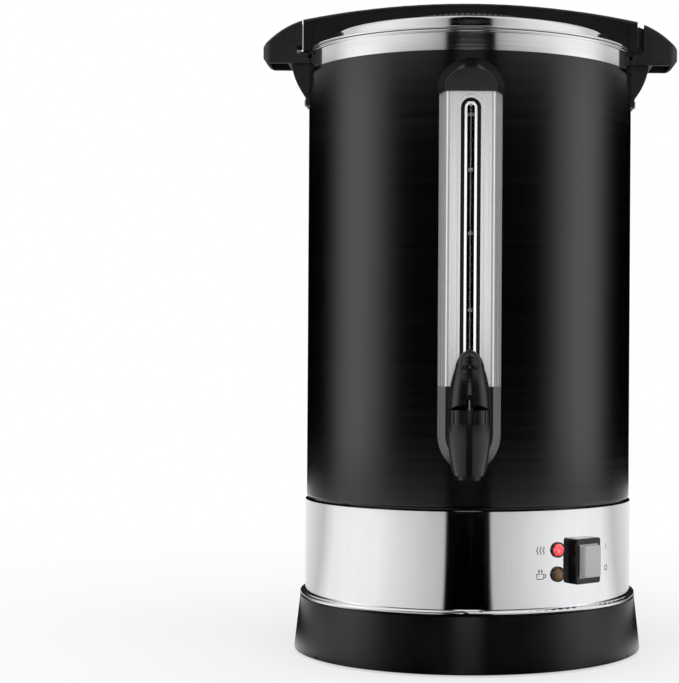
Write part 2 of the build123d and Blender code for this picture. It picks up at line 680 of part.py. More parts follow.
def gauge_cover():
    cover = column(COVER_LOW_Z, COVER_TOP_Z + 3, 0) - column(0, BAR_TOP_Z, COVER_SHEET)
    lip_gap = (LIP_WIDTH - INSERT_WIDTH) / 2
    lip = stadium(LIP_WIDTH, WINDOW_LOW_Z - lip_gap, WINDOW_TOP_Z + lip_gap,
                  COLUMN_FRONT_Y - 0.7, COLUMN_FRONT_Y + 0.5)
    lip = fillet(lip.edges().group_by(Axis.Y)[0], 0.5)
    cover = cover + lip
    cover = cover - stadium(INSERT_WIDTH + 2 * SNUG, WINDOW_LOW_Z - SNUG, WINDOW_TOP_Z + SNUG,
                            COLUMN_FRONT_Y - 5, COLUMN_FRONT_Y + 5)
    return cover - off_shell()


def gauge_bezel():
    behind = COLUMN_FRONT_Y + COVER_SHEET
    flange = stadium(LIP_WIDTH, WINDOW_LOW_Z - 2, WINDOW_TOP_Z + 2, behind, INSERT_BACK_Y)
    face = stadium(INSERT_WIDTH, WINDOW_LOW_Z, WINDOW_TOP_Z, COLUMN_FRONT_Y - 0.3, behind)
    channel_half = TUBE_RADIUS + 0.6
    back = TUBE_Y + TUBE_RADIUS + 0.6
    channel = block(-channel_half - 1.4, channel_half + 1.4, INSERT_BACK_Y, back + 1.2,
                    WINDOW_LOW_Z, WINDOW_TOP_Z)
    channel = channel - block(-channel_half, channel_half, INSERT_BACK_Y - 1, back, 0, BAR_TOP_Z)
    side = (INSERT_WIDTH - TRIM_OUTLINE) / 2
    window = stadium(TRIM_OUTLINE, WINDOW_LOW_Z + side, WINDOW_TOP_Z - side,
                     COLUMN_FRONT_Y - 5, INSERT_BACK_Y + 0.1)
    return flange + face + channel - window


def window_trim():
    side = (INSERT_WIDTH - TRIM_OUTLINE) / 2
    low = WINDOW_LOW_Z + side + SNUG
    high = WINDOW_TOP_Z - side - SNUG
    wide = TRIM_OUTLINE - 2 * SNUG
    thick = (wide - WINDOW_WIDTH) / 2
    ring = stadium(wide, low, high, COLUMN_FRONT_Y - 0.6, INSERT_BACK_Y)
    return ring - stadium(WINDOW_WIDTH, low + thick, high - thick, COLUMN_FRONT_Y - 5, INSERT_BACK_Y + 5)


def sight_tube():
    return Pos(0, TUBE_Y, 0) * tube(TUBE_RADIUS, TUBE_RADIUS - TUBE_WALL, TUBE_LOW_Z, TUBE_TOP_Z)


def tube_seals():
    upper = tube(TUBE_RADIUS + 2.0, TUBE_RADIUS, TUBE_TOP_Z - 6, TUBE_TOP_Z)
    lower = tube(TUBE_RADIUS + 1.0, TUBE_RADIUS, TUBE_LOW_Z + 1, TUBE_LOW_Z + 6)
    return Pos(0, TUBE_Y, 0) * (upper + lower)


def dome(y, half_width, base_z, rise, straight):
    """A D-shaped face at depth y, its flat side at base_z, rising or falling through a half ellipse."""
    sign = 1 if rise > 0 else -1
    shoulder = base_z + sign * straight
    arc = EllipticalCenterArc((0, 0), half_width, abs(rise) - straight, start_angle=0, arc_size=180)
    points = [(half_width, shoulder), (half_width, base_z), (-half_width, base_z), (-half_width, shoulder)]
    sides = Polyline(*[(x, sign * (z - shoulder)) for x, z in points])
    face = make_face([arc] + list(sides.edges()))
    if sign < 0:
        face = mirror(face, Plane.XZ)
    return Plane.XZ.offset(-y) * Pos(0, shoulder) * face


def cap_solid(inset):
    front_y = COLUMN_FRONT_Y - CAP_PROUD + inset
    back_y = -SHELL_RADIUS + 10
    front_half = COLUMN_FRONT_HALF + CAP_PROUD - inset
    back_half = front_half + COLUMN_SLOPE * (back_y - front_y)
    rise_slope = (CAP_RISE - CAP_FRONT_RISE) / COLUMN_DEPTH
    front_rise = CAP_FRONT_RISE - inset
    back_rise = front_rise + rise_slope * (back_y - front_y)
    straight = 3.0
    faces = [dome(front_y, front_half, COVER_TOP_Z, front_rise, straight),
             dome(back_y, back_half, COVER_TOP_Z, back_rise, straight)]
    return loft(faces)


def gauge_cap():
    cap = cap_solid(0)
    rim = cap.edges().sort_by(Axis.Y)[:4]
    cap = fillet([edge for edge in rim if edge.center().Z > COVER_TOP_Z + 0.1], 1.0)
    cavity = cap_solid(CAP_PROUD - SNUG)
    shelf = block(-40, 40, COLUMN_FRONT_Y, 0, TUBE_TOP_Z, TUBE_TOP_Z + 1.5) & cap_solid(0.5)
    boss = rod_y(3.2, COLUMN_FRONT_Y + 1, -SHELL_RADIUS, 0, CAP_SCREW_Z)
    cap = cap - cavity + shelf + boss
    cap = cap - off_shell()
    return cap - rod_y(SCREW_RADIUS + SNUG, -SHELL_RADIUS - SCREW_BITE - 1, -SHELL_RADIUS + 9, 0, CAP_SCREW_Z)


def foot_solid(inset):
    front_y = COLUMN_FRONT_Y + inset
    back_y = -SHELL_RADIUS + 10
    front_half = COLUMN_FRONT_HALF + COLUMN_SLOPE * inset - inset * sqrt(1 + COLUMN_SLOPE ** 2)
    back_half = front_half + COLUMN_SLOPE * (back_y - front_y)
    fall = COVER_LOW_Z - FOOT_HOUSING_LOW_Z
    fall_slope = 0.45
    front_fall = fall - fall_slope * COLUMN_DEPTH - inset
    back_fall = front_fall + fall_slope * (back_y - front_y)
    straight = fall * 0.55
    faces = [dome(front_y, front_half, COVER_LOW_Z, -front_fall, straight),
             dome(back_y, back_half, COVER_LOW_Z, -back_fall, straight)]
    return loft(faces)


def tap_housing():
    housing = foot_solid(0) - foot_solid(1.6)
    for x, z in GAUGE_SCREW_PLACES[1:]:
        housing = housing + (rod_y(3.0, COLUMN_FRONT_Y + 1, -SHELL_RADIUS, x, z) & foot_solid(0.5))
    housing = housing - off_shell()
    for x, z in GAUGE_SCREW_PLACES[1:]:
        hole_front = -SHELL_RADIUS - SCREW_BITE - 1
        housing = housing - rod_y(SCREW_RADIUS + SNUG, hole_front, -SHELL_RADIUS + 9, x, z)
    return housing - rod_y(SHANK_RADIUS + SNUG, COLUMN_FRONT_Y - 9, COLUMN_FRONT_Y + 9, 0, TAP_Z)


def gauge_screws():
    screws = []
    for x, z in GAUGE_SCREW_PLACES:
        seat = -sqrt((SHELL_RADIUS - SHEET) ** 2 - (abs(x) + SCREW_HEAD_RADIUS) ** 2) + SNUG
        head = rod_y(SCREW_HEAD_RADIUS, seat, seat + SCREW_HEAD_HEIGHT, x, z)
        screws.append(head + rod_y(SCREW_RADIUS, -SHELL_RADIUS - SCREW_BITE, seat, x, z))
    return screws[0] + screws[1:]


# Tap

def at_tap(piece):
    return Pos(0, TAP_Y, 0) * piece


def tap_body():
    lip_z = SPOUT_LOW_Z - SPOUT_LIP
    mid_z = (SPOUT_LOW_Z + BONNET_LOW_Z) / 2
    mid_radius = SPOUT_LOW_RADIUS + (TAP_RADIUS - SPOUT_LOW_RADIUS) * 0.68
    spout = turned(
        (OUTLET_RADIUS, lip_z),
        (OUTLET_RADIUS + 2.2, lip_z),
        (OUTLET_RADIUS + 2.2, SPOUT_LOW_Z),
        (SPOUT_LOW_RADIUS, SPOUT_LOW_Z),
        ((mid_radius, mid_z), (TAP_RADIUS - 0.1, BONNET_LOW_Z)),
        (CHAMBER_RADIUS, BONNET_LOW_Z),
        (CHAMBER_RADIUS, SEAT_Z + 2),
        (OUTLET_RADIUS + 1.5, SEAT_Z),
        (OUTLET_RADIUS, SEAT_Z),
    )
    spout = at_tap(spout)
    arm = rod_y(SHANK_RADIUS + 3, TAP_Y + CHAMBER_RADIUS - 1, COLUMN_FRONT_Y, 0, TAP_Z)
    arm = arm - at_tap(rod(CHAMBER_RADIUS, 0, BAR_TOP_Z))
    body = spout + arm
    socket_y = COLUMN_FRONT_Y - 5.6
    body = body - rod_y(SHANK_RADIUS + SNUG, socket_y, COLUMN_FRONT_Y + 9, 0, TAP_Z)
    return body - rod_y(SHANK_BORE, TAP_Y, COLUMN_FRONT_Y, 0, TAP_Z)


def tap_shank():
    front = COLUMN_FRONT_Y - 5.5
    back = -TANK_INNER + 11
    pipe = rod_y(SHANK_RADIUS, front, back, 0, TAP_Z)
    socket_radius = TUBE_RADIUS + 1.7
    socket = Pos(0, TUBE_Y, 0) * rod(socket_radius, TAP_Z, TUBE_LOW_Z + 6)
    pipe = pipe + socket
    pipe = pipe - rod_y(SHANK_BORE, front - 1, back + 1, 0, TAP_Z)
    well = rod(TUBE_RADIUS - TUBE_WALL, TAP_Z, TUBE_LOW_Z + 9)
    seat = rod(TUBE_RADIUS + SNUG, TUBE_LOW_Z, TUBE_LOW_Z + 9)
    seal_seat = rod(TUBE_RADIUS + 1.0, TUBE_LOW_Z + 1, TUBE_LOW_Z + 9)
    return pipe - Pos(0, TUBE_Y, 0) * (well + seat + seal_seat)


NUT_Y = -TANK_INNER + 3.2


def tap_seals():
    washer = rod_y(SHANK_RADIUS + 5, NUT_Y - 2, NUT_Y, 0, TAP_Z)
    washer = washer - rod_y(SHANK_RADIUS + SNUG, -200, 0, 0, TAP_Z)
    spacer = rod_y(SHANK_RADIUS + 4, -SHELL_RADIUS, -TANK_INNER, 0, TAP_Z)
    spacer = spacer - rod_y(SHANK_RADIUS + SNUG, -200, 0, 0, TAP_Z)
    spacer = spacer - rod(TANK_OUTER + SNUG, 0, BAR_TOP_Z)
    spacer = spacer & rod(SHELL_RADIUS - SHEET - SNUG, 0, BAR_TOP_Z)
    return washer + spacer


def tap_nut():
    face = Plane.XZ.offset(-NUT_Y) * Pos(0, TAP_Z) * RegularPolygon(SHANK_RADIUS + 6, 6)
    return extrude(face, -5) - rod_y(SHANK_RADIUS + SNUG, -200, 0, 0, TAP_Z)


SPRING_TOP_Z = BONNET_TOP_Z - 3.5
STEM_DISC_Z = SEAT_Z + 8.0


def tap_bonnet():
    sleeve = CHAMBER_RADIUS - SNUG
    bonnet = turned(
        (STEM_RADIUS + RUNNING, BONNET_TOP_Z),
        (TAP_RADIUS, BONNET_TOP_Z),
        (TAP_RADIUS, BONNET_LOW_Z),
        (sleeve, BONNET_LOW_Z),
        (sleeve, BONNET_LOW_Z - 7),
        (sleeve - 1.8, BONNET_LOW_Z - 7),
        (sleeve - 1.8, SPRING_TOP_Z),
        (STEM_RADIUS + RUNNING, SPRING_TOP_Z),
    )
    flute = Pos(0, -TAP_RADIUS - FLUTE_RADIUS / 4, 0) * rod(FLUTE_RADIUS, BONNET_LOW_Z - 1, BONNET_TOP_Z + 1)
    step = 360 / FLUTE_COUNT
    return at_tap(bonnet - around(flute, [step * (i + 0.5) for i in range(FLUTE_COUNT)]))


def tap_stem():
    shaft = rod(STEM_RADIUS, SEAT_Z + 2.5, PIN_Z + 3.2)
    head_cut = block(STEM_BLADE / 2, 9, -9, 9, BONNET_TOP_Z - PIN_RADIUS, BAR_TOP_Z)
    disc = rod(SPOUT_LOW_RADIUS * 0.8, STEM_DISC_Z - 1.6, STEM_DISC_Z)
    stem = shaft - head_cut - Rot(0, 0, 180) * head_cut + disc
    return at_tap(stem - rod_x(PIN_RADIUS + SNUG / 2, -9, 9, 0, PIN_Z))


def seat_cup():
    cup = rod(OUTLET_RADIUS + 2.6, SEAT_Z + 2, STEM_DISC_Z - 1.6) + Pos(0, 0, SEAT_Z) * Cone(
        OUTLET_RADIUS + 1.2, OUTLET_RADIUS + 2.6, 2, align=(Align.CENTER, Align.CENTER, Align.MIN))
    return at_tap(cup - rod(STEM_RADIUS + SNUG / 2, SEAT_Z + 2.5, BAR_TOP_Z))


def tap_spring():
    low = STEM_DISC_Z + SPRING_WIRE / 2
    high = SPRING_TOP_Z - SPRING_WIRE / 2
    radius = STEM_RADIUS + 3.0
    path = Helix((high - low) / SPRING_TURNS, high - low, radius)
    section = Plane(origin=path @ 0, z_dir=path % 0) * Circle(SPRING_WIRE / 2)
    coil = sweep(section, path, is_frenet=True)
    return at_tap(Pos(0, 0, low) * coil)


def lever_pin():
    return at_tap(rod_x(PIN_RADIUS, -TAP_RADIUS * 0.62, TAP_RADIUS * 0.62, 0, PIN_Z))


def tap_lever():
    base = BONNET_TOP_Z
    foot = TAP_RADIUS - 0.2
    waist = (foot * 0.67, LEVER_HEIGHT * 0.69)
    bullet = turned(
        (0, -8),
        (foot, -8),
        (foot, 0),
        ((foot * 0.89, LEVER_HEIGHT * 0.39), waist),
        ((foot * 0.40, LEVER_HEIGHT * 0.91), (0, LEVER_HEIGHT)),
    )
    scoop_radius = LEVER_HEIGHT * 0.8
    bullet = bullet - rod_x(scoop_radius, -40, 40, scoop_radius + 1.0, LEVER_HEIGHT)
    lever = Pos(0, 0, base) * Rot(LEVER_LEAN, 0, 0) * bullet
    lever = lever - block(-60, 60, -60, 60, base - 60, base + GAP)
    bevel_start = -TAP_RADIUS * 0.44
    bevel = Pos(0, bevel_start, base + GAP) * Rot(-LEVER_SWING, 0, 0) * block(-60, 60, -60, 0, -60, 0)
    lever = lever - bevel
    slot_top = base + LEVER_SLOT_HEIGHT
    lever = lever - block(-LEVER_SLOT / 2, LEVER_SLOT / 2, -60, 60, base - 9, slot_top - LEVER_SLOT / 2)
    lever = lever - rod_y(LEVER_SLOT / 2, -60, 60, 0, slot_top - LEVER_SLOT / 2)
    return at_tap(lever - rod_x(PIN_RADIUS + RUNNING, -TAP_RADIUS * 0.63, TAP_RADIUS * 0.63, 0, PIN_Z))


# Lamps, switch and inlet, drawn at the front and turned to their places

def on_band():
    return rod(BAND_RADIUS + SNUG / 2, 0, BAR_TOP_Z)


def lamp_body(z):
    front = -BAND_RADIUS - 1.5
    flange = rod_y(LAMP_FLANGE_RADIUS, front, -BAND_RADIUS + 3, 0, z) - on_band()
    barrel = rod_y(LENS_RADIUS + 0.4, front, -BAND_RADIUS + 20, 0, z)
    bore = rod_y(LENS_RADIUS + SNUG, front - 1, -BAND_RADIUS + 8, 0, z)
    tabs = block(-3.2, -2.4, -BAND_RADIUS + 20, -BAND_RADIUS + 27, z - 1.5, z + 1.5)
    tabs = tabs + block(2.4, 3.2, -BAND_RADIUS + 20, -BAND_RADIUS + 27, z - 1.5, z + 1.5)
    return Rot(0, 0, LAMP_AZIMUTH) * (flange + barrel - bore + tabs)


def lamp_lens(z):
    front = -BAND_RADIUS - 3.2
    lens = rod_y(LENS_RADIUS, front, -BAND_RADIUS + 8, 0, z)
    lens = fillet(lens.edges().sort_by(Axis.Y)[:1], LENS_RADIUS * 0.5)
    return Rot(0, 0, LAMP_AZIMUTH) * lens


def heating_lamp_body():
    return lamp_body(PANEL_Z + LAMP_SPACING / 2)


def heating_lamp_lens():
    return lamp_lens(PANEL_Z + LAMP_SPACING / 2)


def warming_lamp_body():
    return lamp_body(PANEL_Z - LAMP_SPACING / 2)


def warming_lamp_lens():
    return lamp_lens(PANEL_Z - LAMP_SPACING / 2)


def panel_block(width, height, front, back):
    return block(-width / 2, width / 2, front, back, PANEL_Z - height / 2, PANEL_Z + height / 2)


SWITCH_BACK_Y = -BAND_RADIUS + 24
BOOT_FLANGE = 1.0


def switch_housing():
    flange = panel_block(SWITCH_WIDTH, SWITCH_HEIGHT, SWITCH_FRONT_Y, -BAND_RADIUS + 4)
    corners = flange.edges().filter_by(Axis.Y)
    flange = fillet(corners, 2.0)
    flange = fillet(flange.faces().sort_by(Axis.Y)[0].edges(), 0.8)
    flange = flange - on_band()
    rear = panel_block(SWITCH_WIDTH - 4 - GAP, SWITCH_HEIGHT - 5 - GAP, SWITCH_FRONT_Y + 3, SWITCH_BACK_Y)
    pocket = panel_block(BOOT_WIDTH - 2, BOOT_HEIGHT - 2, SWITCH_FRONT_Y - 1, -BAND_RADIUS + 9)
    recess_back = SWITCH_FRONT_Y + BOOT_FLANGE + SNUG
    recess = panel_block(BOOT_WIDTH + 2, BOOT_HEIGHT + 2, SWITCH_FRONT_Y - 1, recess_back)
    trunnion = rod_x(PIN_RADIUS + RUNNING, -BOOT_WIDTH / 2 - 0.9, BOOT_WIDTH / 2 + 0.9, ROCKER_Y, PANEL_Z)
    return Rot(0, 0, SWITCH_AZIMUTH) * (flange + rear - pocket - recess - trunnion)


def splash_cover():
    front = SWITCH_FRONT_Y - BOOT_PROUD
    seat = SWITCH_FRONT_Y + BOOT_FLANGE
    dome_block = panel_block(BOOT_WIDTH, BOOT_HEIGHT, front, seat)
    dome_block = fillet(dome_block.edges().filter_by(Axis.Y), 1.6)
    dome_block = fillet(dome_block.faces().sort_by(Axis.Y)[0].edges(), 1.2)
    flange = panel_block(BOOT_WIDTH + 2 - 2 * SNUG, BOOT_HEIGHT + 2 - 2 * SNUG, SWITCH_FRONT_Y, seat)
    hollow = panel_block(BOOT_WIDTH - 2.4, BOOT_HEIGHT - 2.4, front + 1.2, seat + 1)
    return Rot(0, 0, SWITCH_AZIMUTH) * (dome_block + flange - hollow)


def switch_rocker():
    reach = BOOT_HEIGHT / 2 - 2.5
    thick = 5.0
    points = [(-thick, reach), (-thick + 1.6, 0), (-thick, -reach),
              (-1.0, -reach + 0.5), (3.4, -3.0), (3.4, 3.0),
              (-1.0, reach - 0.5)]
    face = make_face(Polyline(*points, close=True))
    width = BOOT_WIDTH - 4.0
    paddle = extrude(Plane.YZ.offset(-width / 2) * face, width)
    paddle = paddle + rod_x(PIN_RADIUS, -BOOT_WIDTH / 2 - 0.6, BOOT_WIDTH / 2 + 0.6, 0, 0)
    rocker = Pos(0, ROCKER_Y, PANEL_Z) * Rot(-ROCKER_TILT, 0, 0) * paddle
    return Rot(0, 0, SWITCH_AZIMUTH) * rocker


TERMINAL_Z = (-8, 0, 8)
TERMINAL_END_Y = SWITCH_BACK_Y + 8


def switch_terminals():
    blades = [block(-3, 3, SWITCH_BACK_Y, TERMINAL_END_Y, PANEL_Z + z - 0.4, PANEL_Z + z + 0.4)
              for z in TERMINAL_Z]
    return Rot(0, 0, SWITCH_AZIMUTH) * (blades[0] + blades[1:])


INLET_PIN_PLACES = [(-7.0, -1.5), (7.0, -1.5), (0.0, 2.5)]
INLET_FRONT_Y = -BAND_RADIUS - INLET_PROUD
INLET_FLOOR_Y = INLET_FRONT_Y + INLET_RECESS
INLET_BACK_Y = INLET_FLOOR_Y + 4
INLET_END_Y = INLET_BACK_Y + 8


def power_inlet():
    flange = panel_block(INLET_WIDTH, INLET_HEIGHT, INLET_FRONT_Y, -BAND_RADIUS + 4)
    flange = fillet(flange.edges().filter_by(Axis.Y), 2.5)
    flange = flange - on_band()
    rear = panel_block(INLET_WIDTH - 5 - GAP, INLET_HEIGHT - 6 - GAP, INLET_FRONT_Y + 2, INLET_BACK_Y)
    half_width = INLET_WIDTH / 2 - 4
    half_height = INLET_HEIGHT / 2 - 4.6
    points = [(-half_width, -half_height), (half_width, -half_height), (half_width, half_height * 0.4),
              (half_width * 0.6, half_height), (-half_width * 0.6, half_height),
              (-half_width, half_height * 0.4)]
    mouth = Plane.XZ.offset(-INLET_FRONT_Y + 1) * Pos(0, PANEL_Z) * make_face(Polyline(*points, close=True))
    recess = extrude(mouth, -(INLET_RECESS + 1))
    inlet = flange + rear - recess
    for x, z in INLET_PIN_PLACES:
        inlet = inlet - block(x - 1.05, x + 1.05, INLET_FLOOR_Y - 1, INLET_BACK_Y + 1, PANEL_Z + z - 2.05,
                              PANEL_Z + z + 2.05)
    return Rot(0, 0, 180) * inlet


def inlet_pins():
    pins = [block(x - 1, x + 1, INLET_FLOOR_Y - PIN_LENGTH, INLET_END_Y, PANEL_Z + z - 2, PANEL_Z + z + 2)
            for x, z in INLET_PIN_PLACES]
    return Rot(0, 0, 180) * (pins[0] + pins[1:])


# Percolator

def pump_tube():
    stop = BASKET_LOW_Z - 2
    pipe = tube(PUMP_RADIUS, PUMP_RADIUS - SHEET, WELL_Z + 4, LID_TOP_Z - 22)
    return pipe + tube(PUMP_RADIUS + 3, PUMP_RADIUS - SHEET / 2, stop, BASKET_LOW_Z)


def pump_bell():
    skirt = WELL_RADIUS - 2
    neck = PUMP_RADIUS + SNUG
    bell = turned((skirt, WELL_Z), (neck + 2, WELL_Z + 12), (neck + 2, WELL_Z + 22), (neck, WELL_Z + 22),
                  (neck, WELL_Z + 12), (skirt - 1.2, WELL_Z))
    return bell - around(block(-3, 3, -skirt - 1, -skirt + 6, WELL_Z - 1, WELL_Z + 2.5), (0, 90, 180, 270))


def hole_rings(rings, radius, low, high):
    """Rings of upright holes, each given as a circle and a count."""
    holes = [Rot(0, 0, 360 * i / count) * Pos(circle, 0, 0) * rod(radius, low, high)
             for circle, count in rings for i in range(count)]
    return holes[0] + holes[1:]


def coffee_basket():
    top = BASKET_LOW_Z + BASKET_HEIGHT
    sleeve = PUMP_RADIUS + GAP
    basket = turned(
        (sleeve, BASKET_LOW_Z),
        (BASKET_RADIUS, BASKET_LOW_Z),
        (BASKET_RADIUS, top),
        (BASKET_RADIUS - SHEET, top),
        (BASKET_RADIUS - SHEET, BASKET_LOW_Z + SHEET),
        (sleeve + SHEET, BASKET_LOW_Z + SHEET),
        (sleeve + SHEET, top),
        (sleeve, top),
    )
    rings = [(BASKET_RADIUS * 0.3, 12), (BASKET_RADIUS * 0.55, 20), (BASKET_RADIUS * 0.8, 28)]
    return basket - hole_rings(rings, 1.5, BASKET_LOW_Z - 1, BASKET_LOW_Z + 2)


def basket_cover():
    low = BASKET_LOW_Z + BASKET_HEIGHT
    sleeve = PUMP_RADIUS + GAP
    cover = tube(BASKET_RADIUS, sleeve, low, low + SHEET)
    cover = cover + tube(BASKET_RADIUS, BASKET_RADIUS - SHEET, low, low + 4)
    rings = [(BASKET_RADIUS * share, count) for share, count in ((0.3, 12), (0.5, 18), (0.7, 24), (0.88, 30))]
    return cover - hole_rings(rings, 1.6, low - 1, low + 2)


# Heater and wiring

def heater_plate():
    plate = tube(HEATER_PLATE_RADIUS, WELL_RADIUS + SHEET + SNUG, HEATER_LOW_Z, HEATER_TOP_Z)
    tie_hole = Pos(TIE_CIRCLE, 0, 0) * rod(TIE_RADIUS + SNUG, 0, BAR_TOP_Z)
    return plate - around(tie_hole, TIE_ANGLES)


ELEMENT_Z = HEATER_LOW_Z - ELEMENT_RADIUS
ELEMENT_END_Z = ELEMENT_Z - 22
ELEMENT_OPEN = 24.0


def heating_element():
    section = Plane.XZ * Pos(ELEMENT_CIRCLE, ELEMENT_Z) * Circle(ELEMENT_RADIUS)
    ring = Rot(0, 0, 90 + ELEMENT_OPEN / 2) * revolve(section, Axis.Z, 360 - ELEMENT_OPEN)
    for side in (-1, 1):
        place = Rot(0, 0, 90 + side * ELEMENT_OPEN / 2) * Pos(ELEMENT_CIRCLE, 0, 0)
        ring = ring + place * rod(ELEMENT_RADIUS * 0.9, ELEMENT_END_Z + 6, ELEMENT_Z)
        ring = ring + place * rod(ELEMENT_RADIUS * 0.4, ELEMENT_END_Z, ELEMENT_Z)
    return ring


def warming_band():
    inner = TANK_OUTER + SNUG
    band = tube(inner + WARM_THICKNESS, inner, WARM_LOW_Z, WARM_LOW_Z + WARM_HEIGHT)
    band = band - block(-5, 5, 0, 200, 0, BAR_TOP_Z)
    ear_low = TANK_OUTER + SNUG
    for side in (-1, 1):
        edge = side * 5
        band = band + block(min(edge, edge + side * 1.5), max(edge, edge + side * 1.5), ear_low, ear_low + 5,
                            WARM_LOW_Z + 6, WARM_LOW_Z + WARM_HEIGHT - 6)
    return band


THERMOSTAT_Y = 92.0
FUSE_Y = -92.0


def thermostat():
    top = FLOOR_Z - SHEET
    body = rod(8.5, top - 10, top)
    ears = block(-17, 17, -5, 5, top - 1, top)
    tabs = block(-5.4, -4.6, -2.5, 2.5, top - 18, top - 10) + block(4.6, 5.4, -2.5, 2.5, top - 18, top - 10)
    return Pos(0, THERMOSTAT_Y, 0) * (body + ears + tabs)


def thermal_fuse():
    top = FLOOR_Z - SHEET
    can = rod_x(2.2, -8, 8, FUSE_Y, top - 2.6)
    leads = rod_x(0.6, -14, 14, FUSE_Y, top - 2.6)
    clip = block(-3, 3, FUSE_Y - 3.2, FUSE_Y + 3.2, top - 5.6, top) - rod_x(2.2, -9, 9, FUSE_Y, top - 2.6)
    return can + leads + clip


def tie_rods():
    stud = Pos(TIE_CIRCLE, 0, 0) * rod(TIE_RADIUS, PLATE_Z - 4.4, HEATER_TOP_Z)
    return around(stud, TIE_ANGLES)


def tie_nuts():
    nut = extrude(RegularPolygon(TIE_RADIUS * 1.85, 6), 3.6)
    low = Pos(0, 0, PLATE_Z - 3.6) * nut
    high = Pos(0, 0, HEATER_LOW_Z - 3.6) * nut
    bore = rod(TIE_RADIUS + RUNNING, 0, BAR_TOP_Z)
    return around(Pos(TIE_CIRCLE, 0, 0) * (low + high - bore), TIE_ANGLES)


BLOCK_X = -70.0
BLOCK_LENGTH = 40.0
BLOCK_HEIGHT = 16.0


def terminal_block():
    half = BLOCK_LENGTH / 2
    body = block(BLOCK_X - 9, BLOCK_X + 9, -half, half, PLATE_TOP_Z, PLATE_TOP_Z + BLOCK_HEIGHT)
    for i in range(4):
        y = -half + BLOCK_LENGTH * (i + 0.5) / 4
        top = PLATE_TOP_Z + BLOCK_HEIGHT
        body = body - Pos(BLOCK_X, y, 0) * rod(3, top - 5, top + 5)
    return body


def wire(*points):
    path = FilletPolyline(*points, radius=WIRE_RADIUS * 4)
    section = Plane(origin=path @ 0, z_dir=path % 0) * Circle(WIRE_RADIUS)
    return sweep(section, path)


def wiring():
    azimuth = radians(SWITCH_AZIMUTH)
    radial = -TERMINAL_END_Y
    switch_x = radial * sin(azimuth)
    switch_y = -radial * cos(azimuth)
    inward = (sin(azimuth), -cos(azimuth))
    near_x = switch_x - 12 * inward[0]
    near_y = switch_y - 12 * inward[1]
    block_top = PLATE_TOP_Z + BLOCK_HEIGHT - 5
    slots = [-BLOCK_LENGTH / 2 + BLOCK_LENGTH * (i + 0.5) / 4 for i in range(4)]
    back = -INLET_END_Y
    open_angle = radians(ELEMENT_OPEN / 2)
    element = [(side * ELEMENT_CIRCLE * sin(open_angle), ELEMENT_CIRCLE * cos(open_angle))
               for side in (-1, 1)]
    live = wire((-7, back, PANEL_Z - 1.5), (-7, back - 14, PANEL_Z - 1.5), (BLOCK_X, slots[3], PANEL_Z - 1.5),
                (BLOCK_X, slots[3], block_top))
    feed = wire((switch_x, switch_y, PANEL_Z - 8), (near_x, near_y, PANEL_Z - 8), (near_x, near_y, 46),
                (BLOCK_X, slots[0], 46), (BLOCK_X, slots[0], block_top))
    heat = wire((switch_x, switch_y, PANEL_Z + 8), (near_x, near_y, PANEL_Z + 8),
                (element[1][0], element[1][1], 72),
                (element[1][0], element[1][1], ELEMENT_END_Z))
    neutral = wire((element[0][0], element[0][1], ELEMENT_END_Z), (element[0][0], element[0][1], 60),
                   (BLOCK_X, slots[2], 60), (BLOCK_X, slots[2], block_top))
    return live + [feed, heat, neutral]


PIECES = [
    base_skirt, base_plate, base_screws, rubber_feet, trim_ring, control_band, outer_shell, rim_collar,
    tank, tank_floor, lid_cover, lid_gasket, lid_bar, lid_bar_screws, left_handle, right_handle,
    handle_screws, lug_screws, gauge_cover, gauge_bezel, window_trim, sight_tube, tube_seals, gauge_cap,
    tap_housing, gauge_screws, tap_body, tap_shank, tap_seals, tap_nut, tap_bonnet, tap_stem, seat_cup,
    tap_spring, lever_pin, tap_lever, heating_lamp_body, heating_lamp_lens, warming_lamp_body,
    warming_lamp_lens, switch_housing, splash_cover, switch_rocker, switch_terminals, power_inlet,
    inlet_pins, pump_tube, pump_bell, coffee_basket, basket_cover, heater_plate, heating_element,
    warming_band, thermostat, thermal_fuse, tie_rods, tie_nuts, terminal_block, wiring,
]

os.makedirs("parts", exist_ok=True)
for piece in PIECES:
    export_step(piece(), "parts/" + piece.__name__ + ".step")
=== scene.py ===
from math import cos, pi, radians, sin

import bpy
from mathutils import Matrix, Vector
from mathutils.bvhtree import BVHTree


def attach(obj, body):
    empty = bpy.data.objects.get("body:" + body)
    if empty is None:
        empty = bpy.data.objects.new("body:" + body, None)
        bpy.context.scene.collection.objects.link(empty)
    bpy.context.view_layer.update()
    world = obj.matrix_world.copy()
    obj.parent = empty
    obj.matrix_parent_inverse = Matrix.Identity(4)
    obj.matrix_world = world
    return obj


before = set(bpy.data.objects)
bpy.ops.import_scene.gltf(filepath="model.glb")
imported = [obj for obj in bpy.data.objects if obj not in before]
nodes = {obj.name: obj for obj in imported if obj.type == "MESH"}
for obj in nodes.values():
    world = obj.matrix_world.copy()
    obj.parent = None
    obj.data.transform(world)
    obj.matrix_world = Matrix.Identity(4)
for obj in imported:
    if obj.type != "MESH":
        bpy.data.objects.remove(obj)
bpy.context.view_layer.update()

# Sizes in metres, from the solids
SHELL_RADIUS = 0.132
BAND_RADIUS = 0.133
PANEL_Z = 0.0832
LAMP_SPACING = 0.0185
TAP_Y = -0.170
TUBE_Y = -0.1422
TUBE_RADIUS = 0.0036
INSERT_FRONT_Y = -0.1499

# Raised lines on the tap
PAD_Z = 0.2315
PAD_RIM_WIDTH = 0.0009
GRIP_SPACING = 0.0056
GRIP_WIDTH = 0.0010
SEAM_LOW_Z = 0.1540
SEAM_HEIGHT = 0.0280
SEAM_STEPS = 24
SEAM_WIDTH = 0.0011

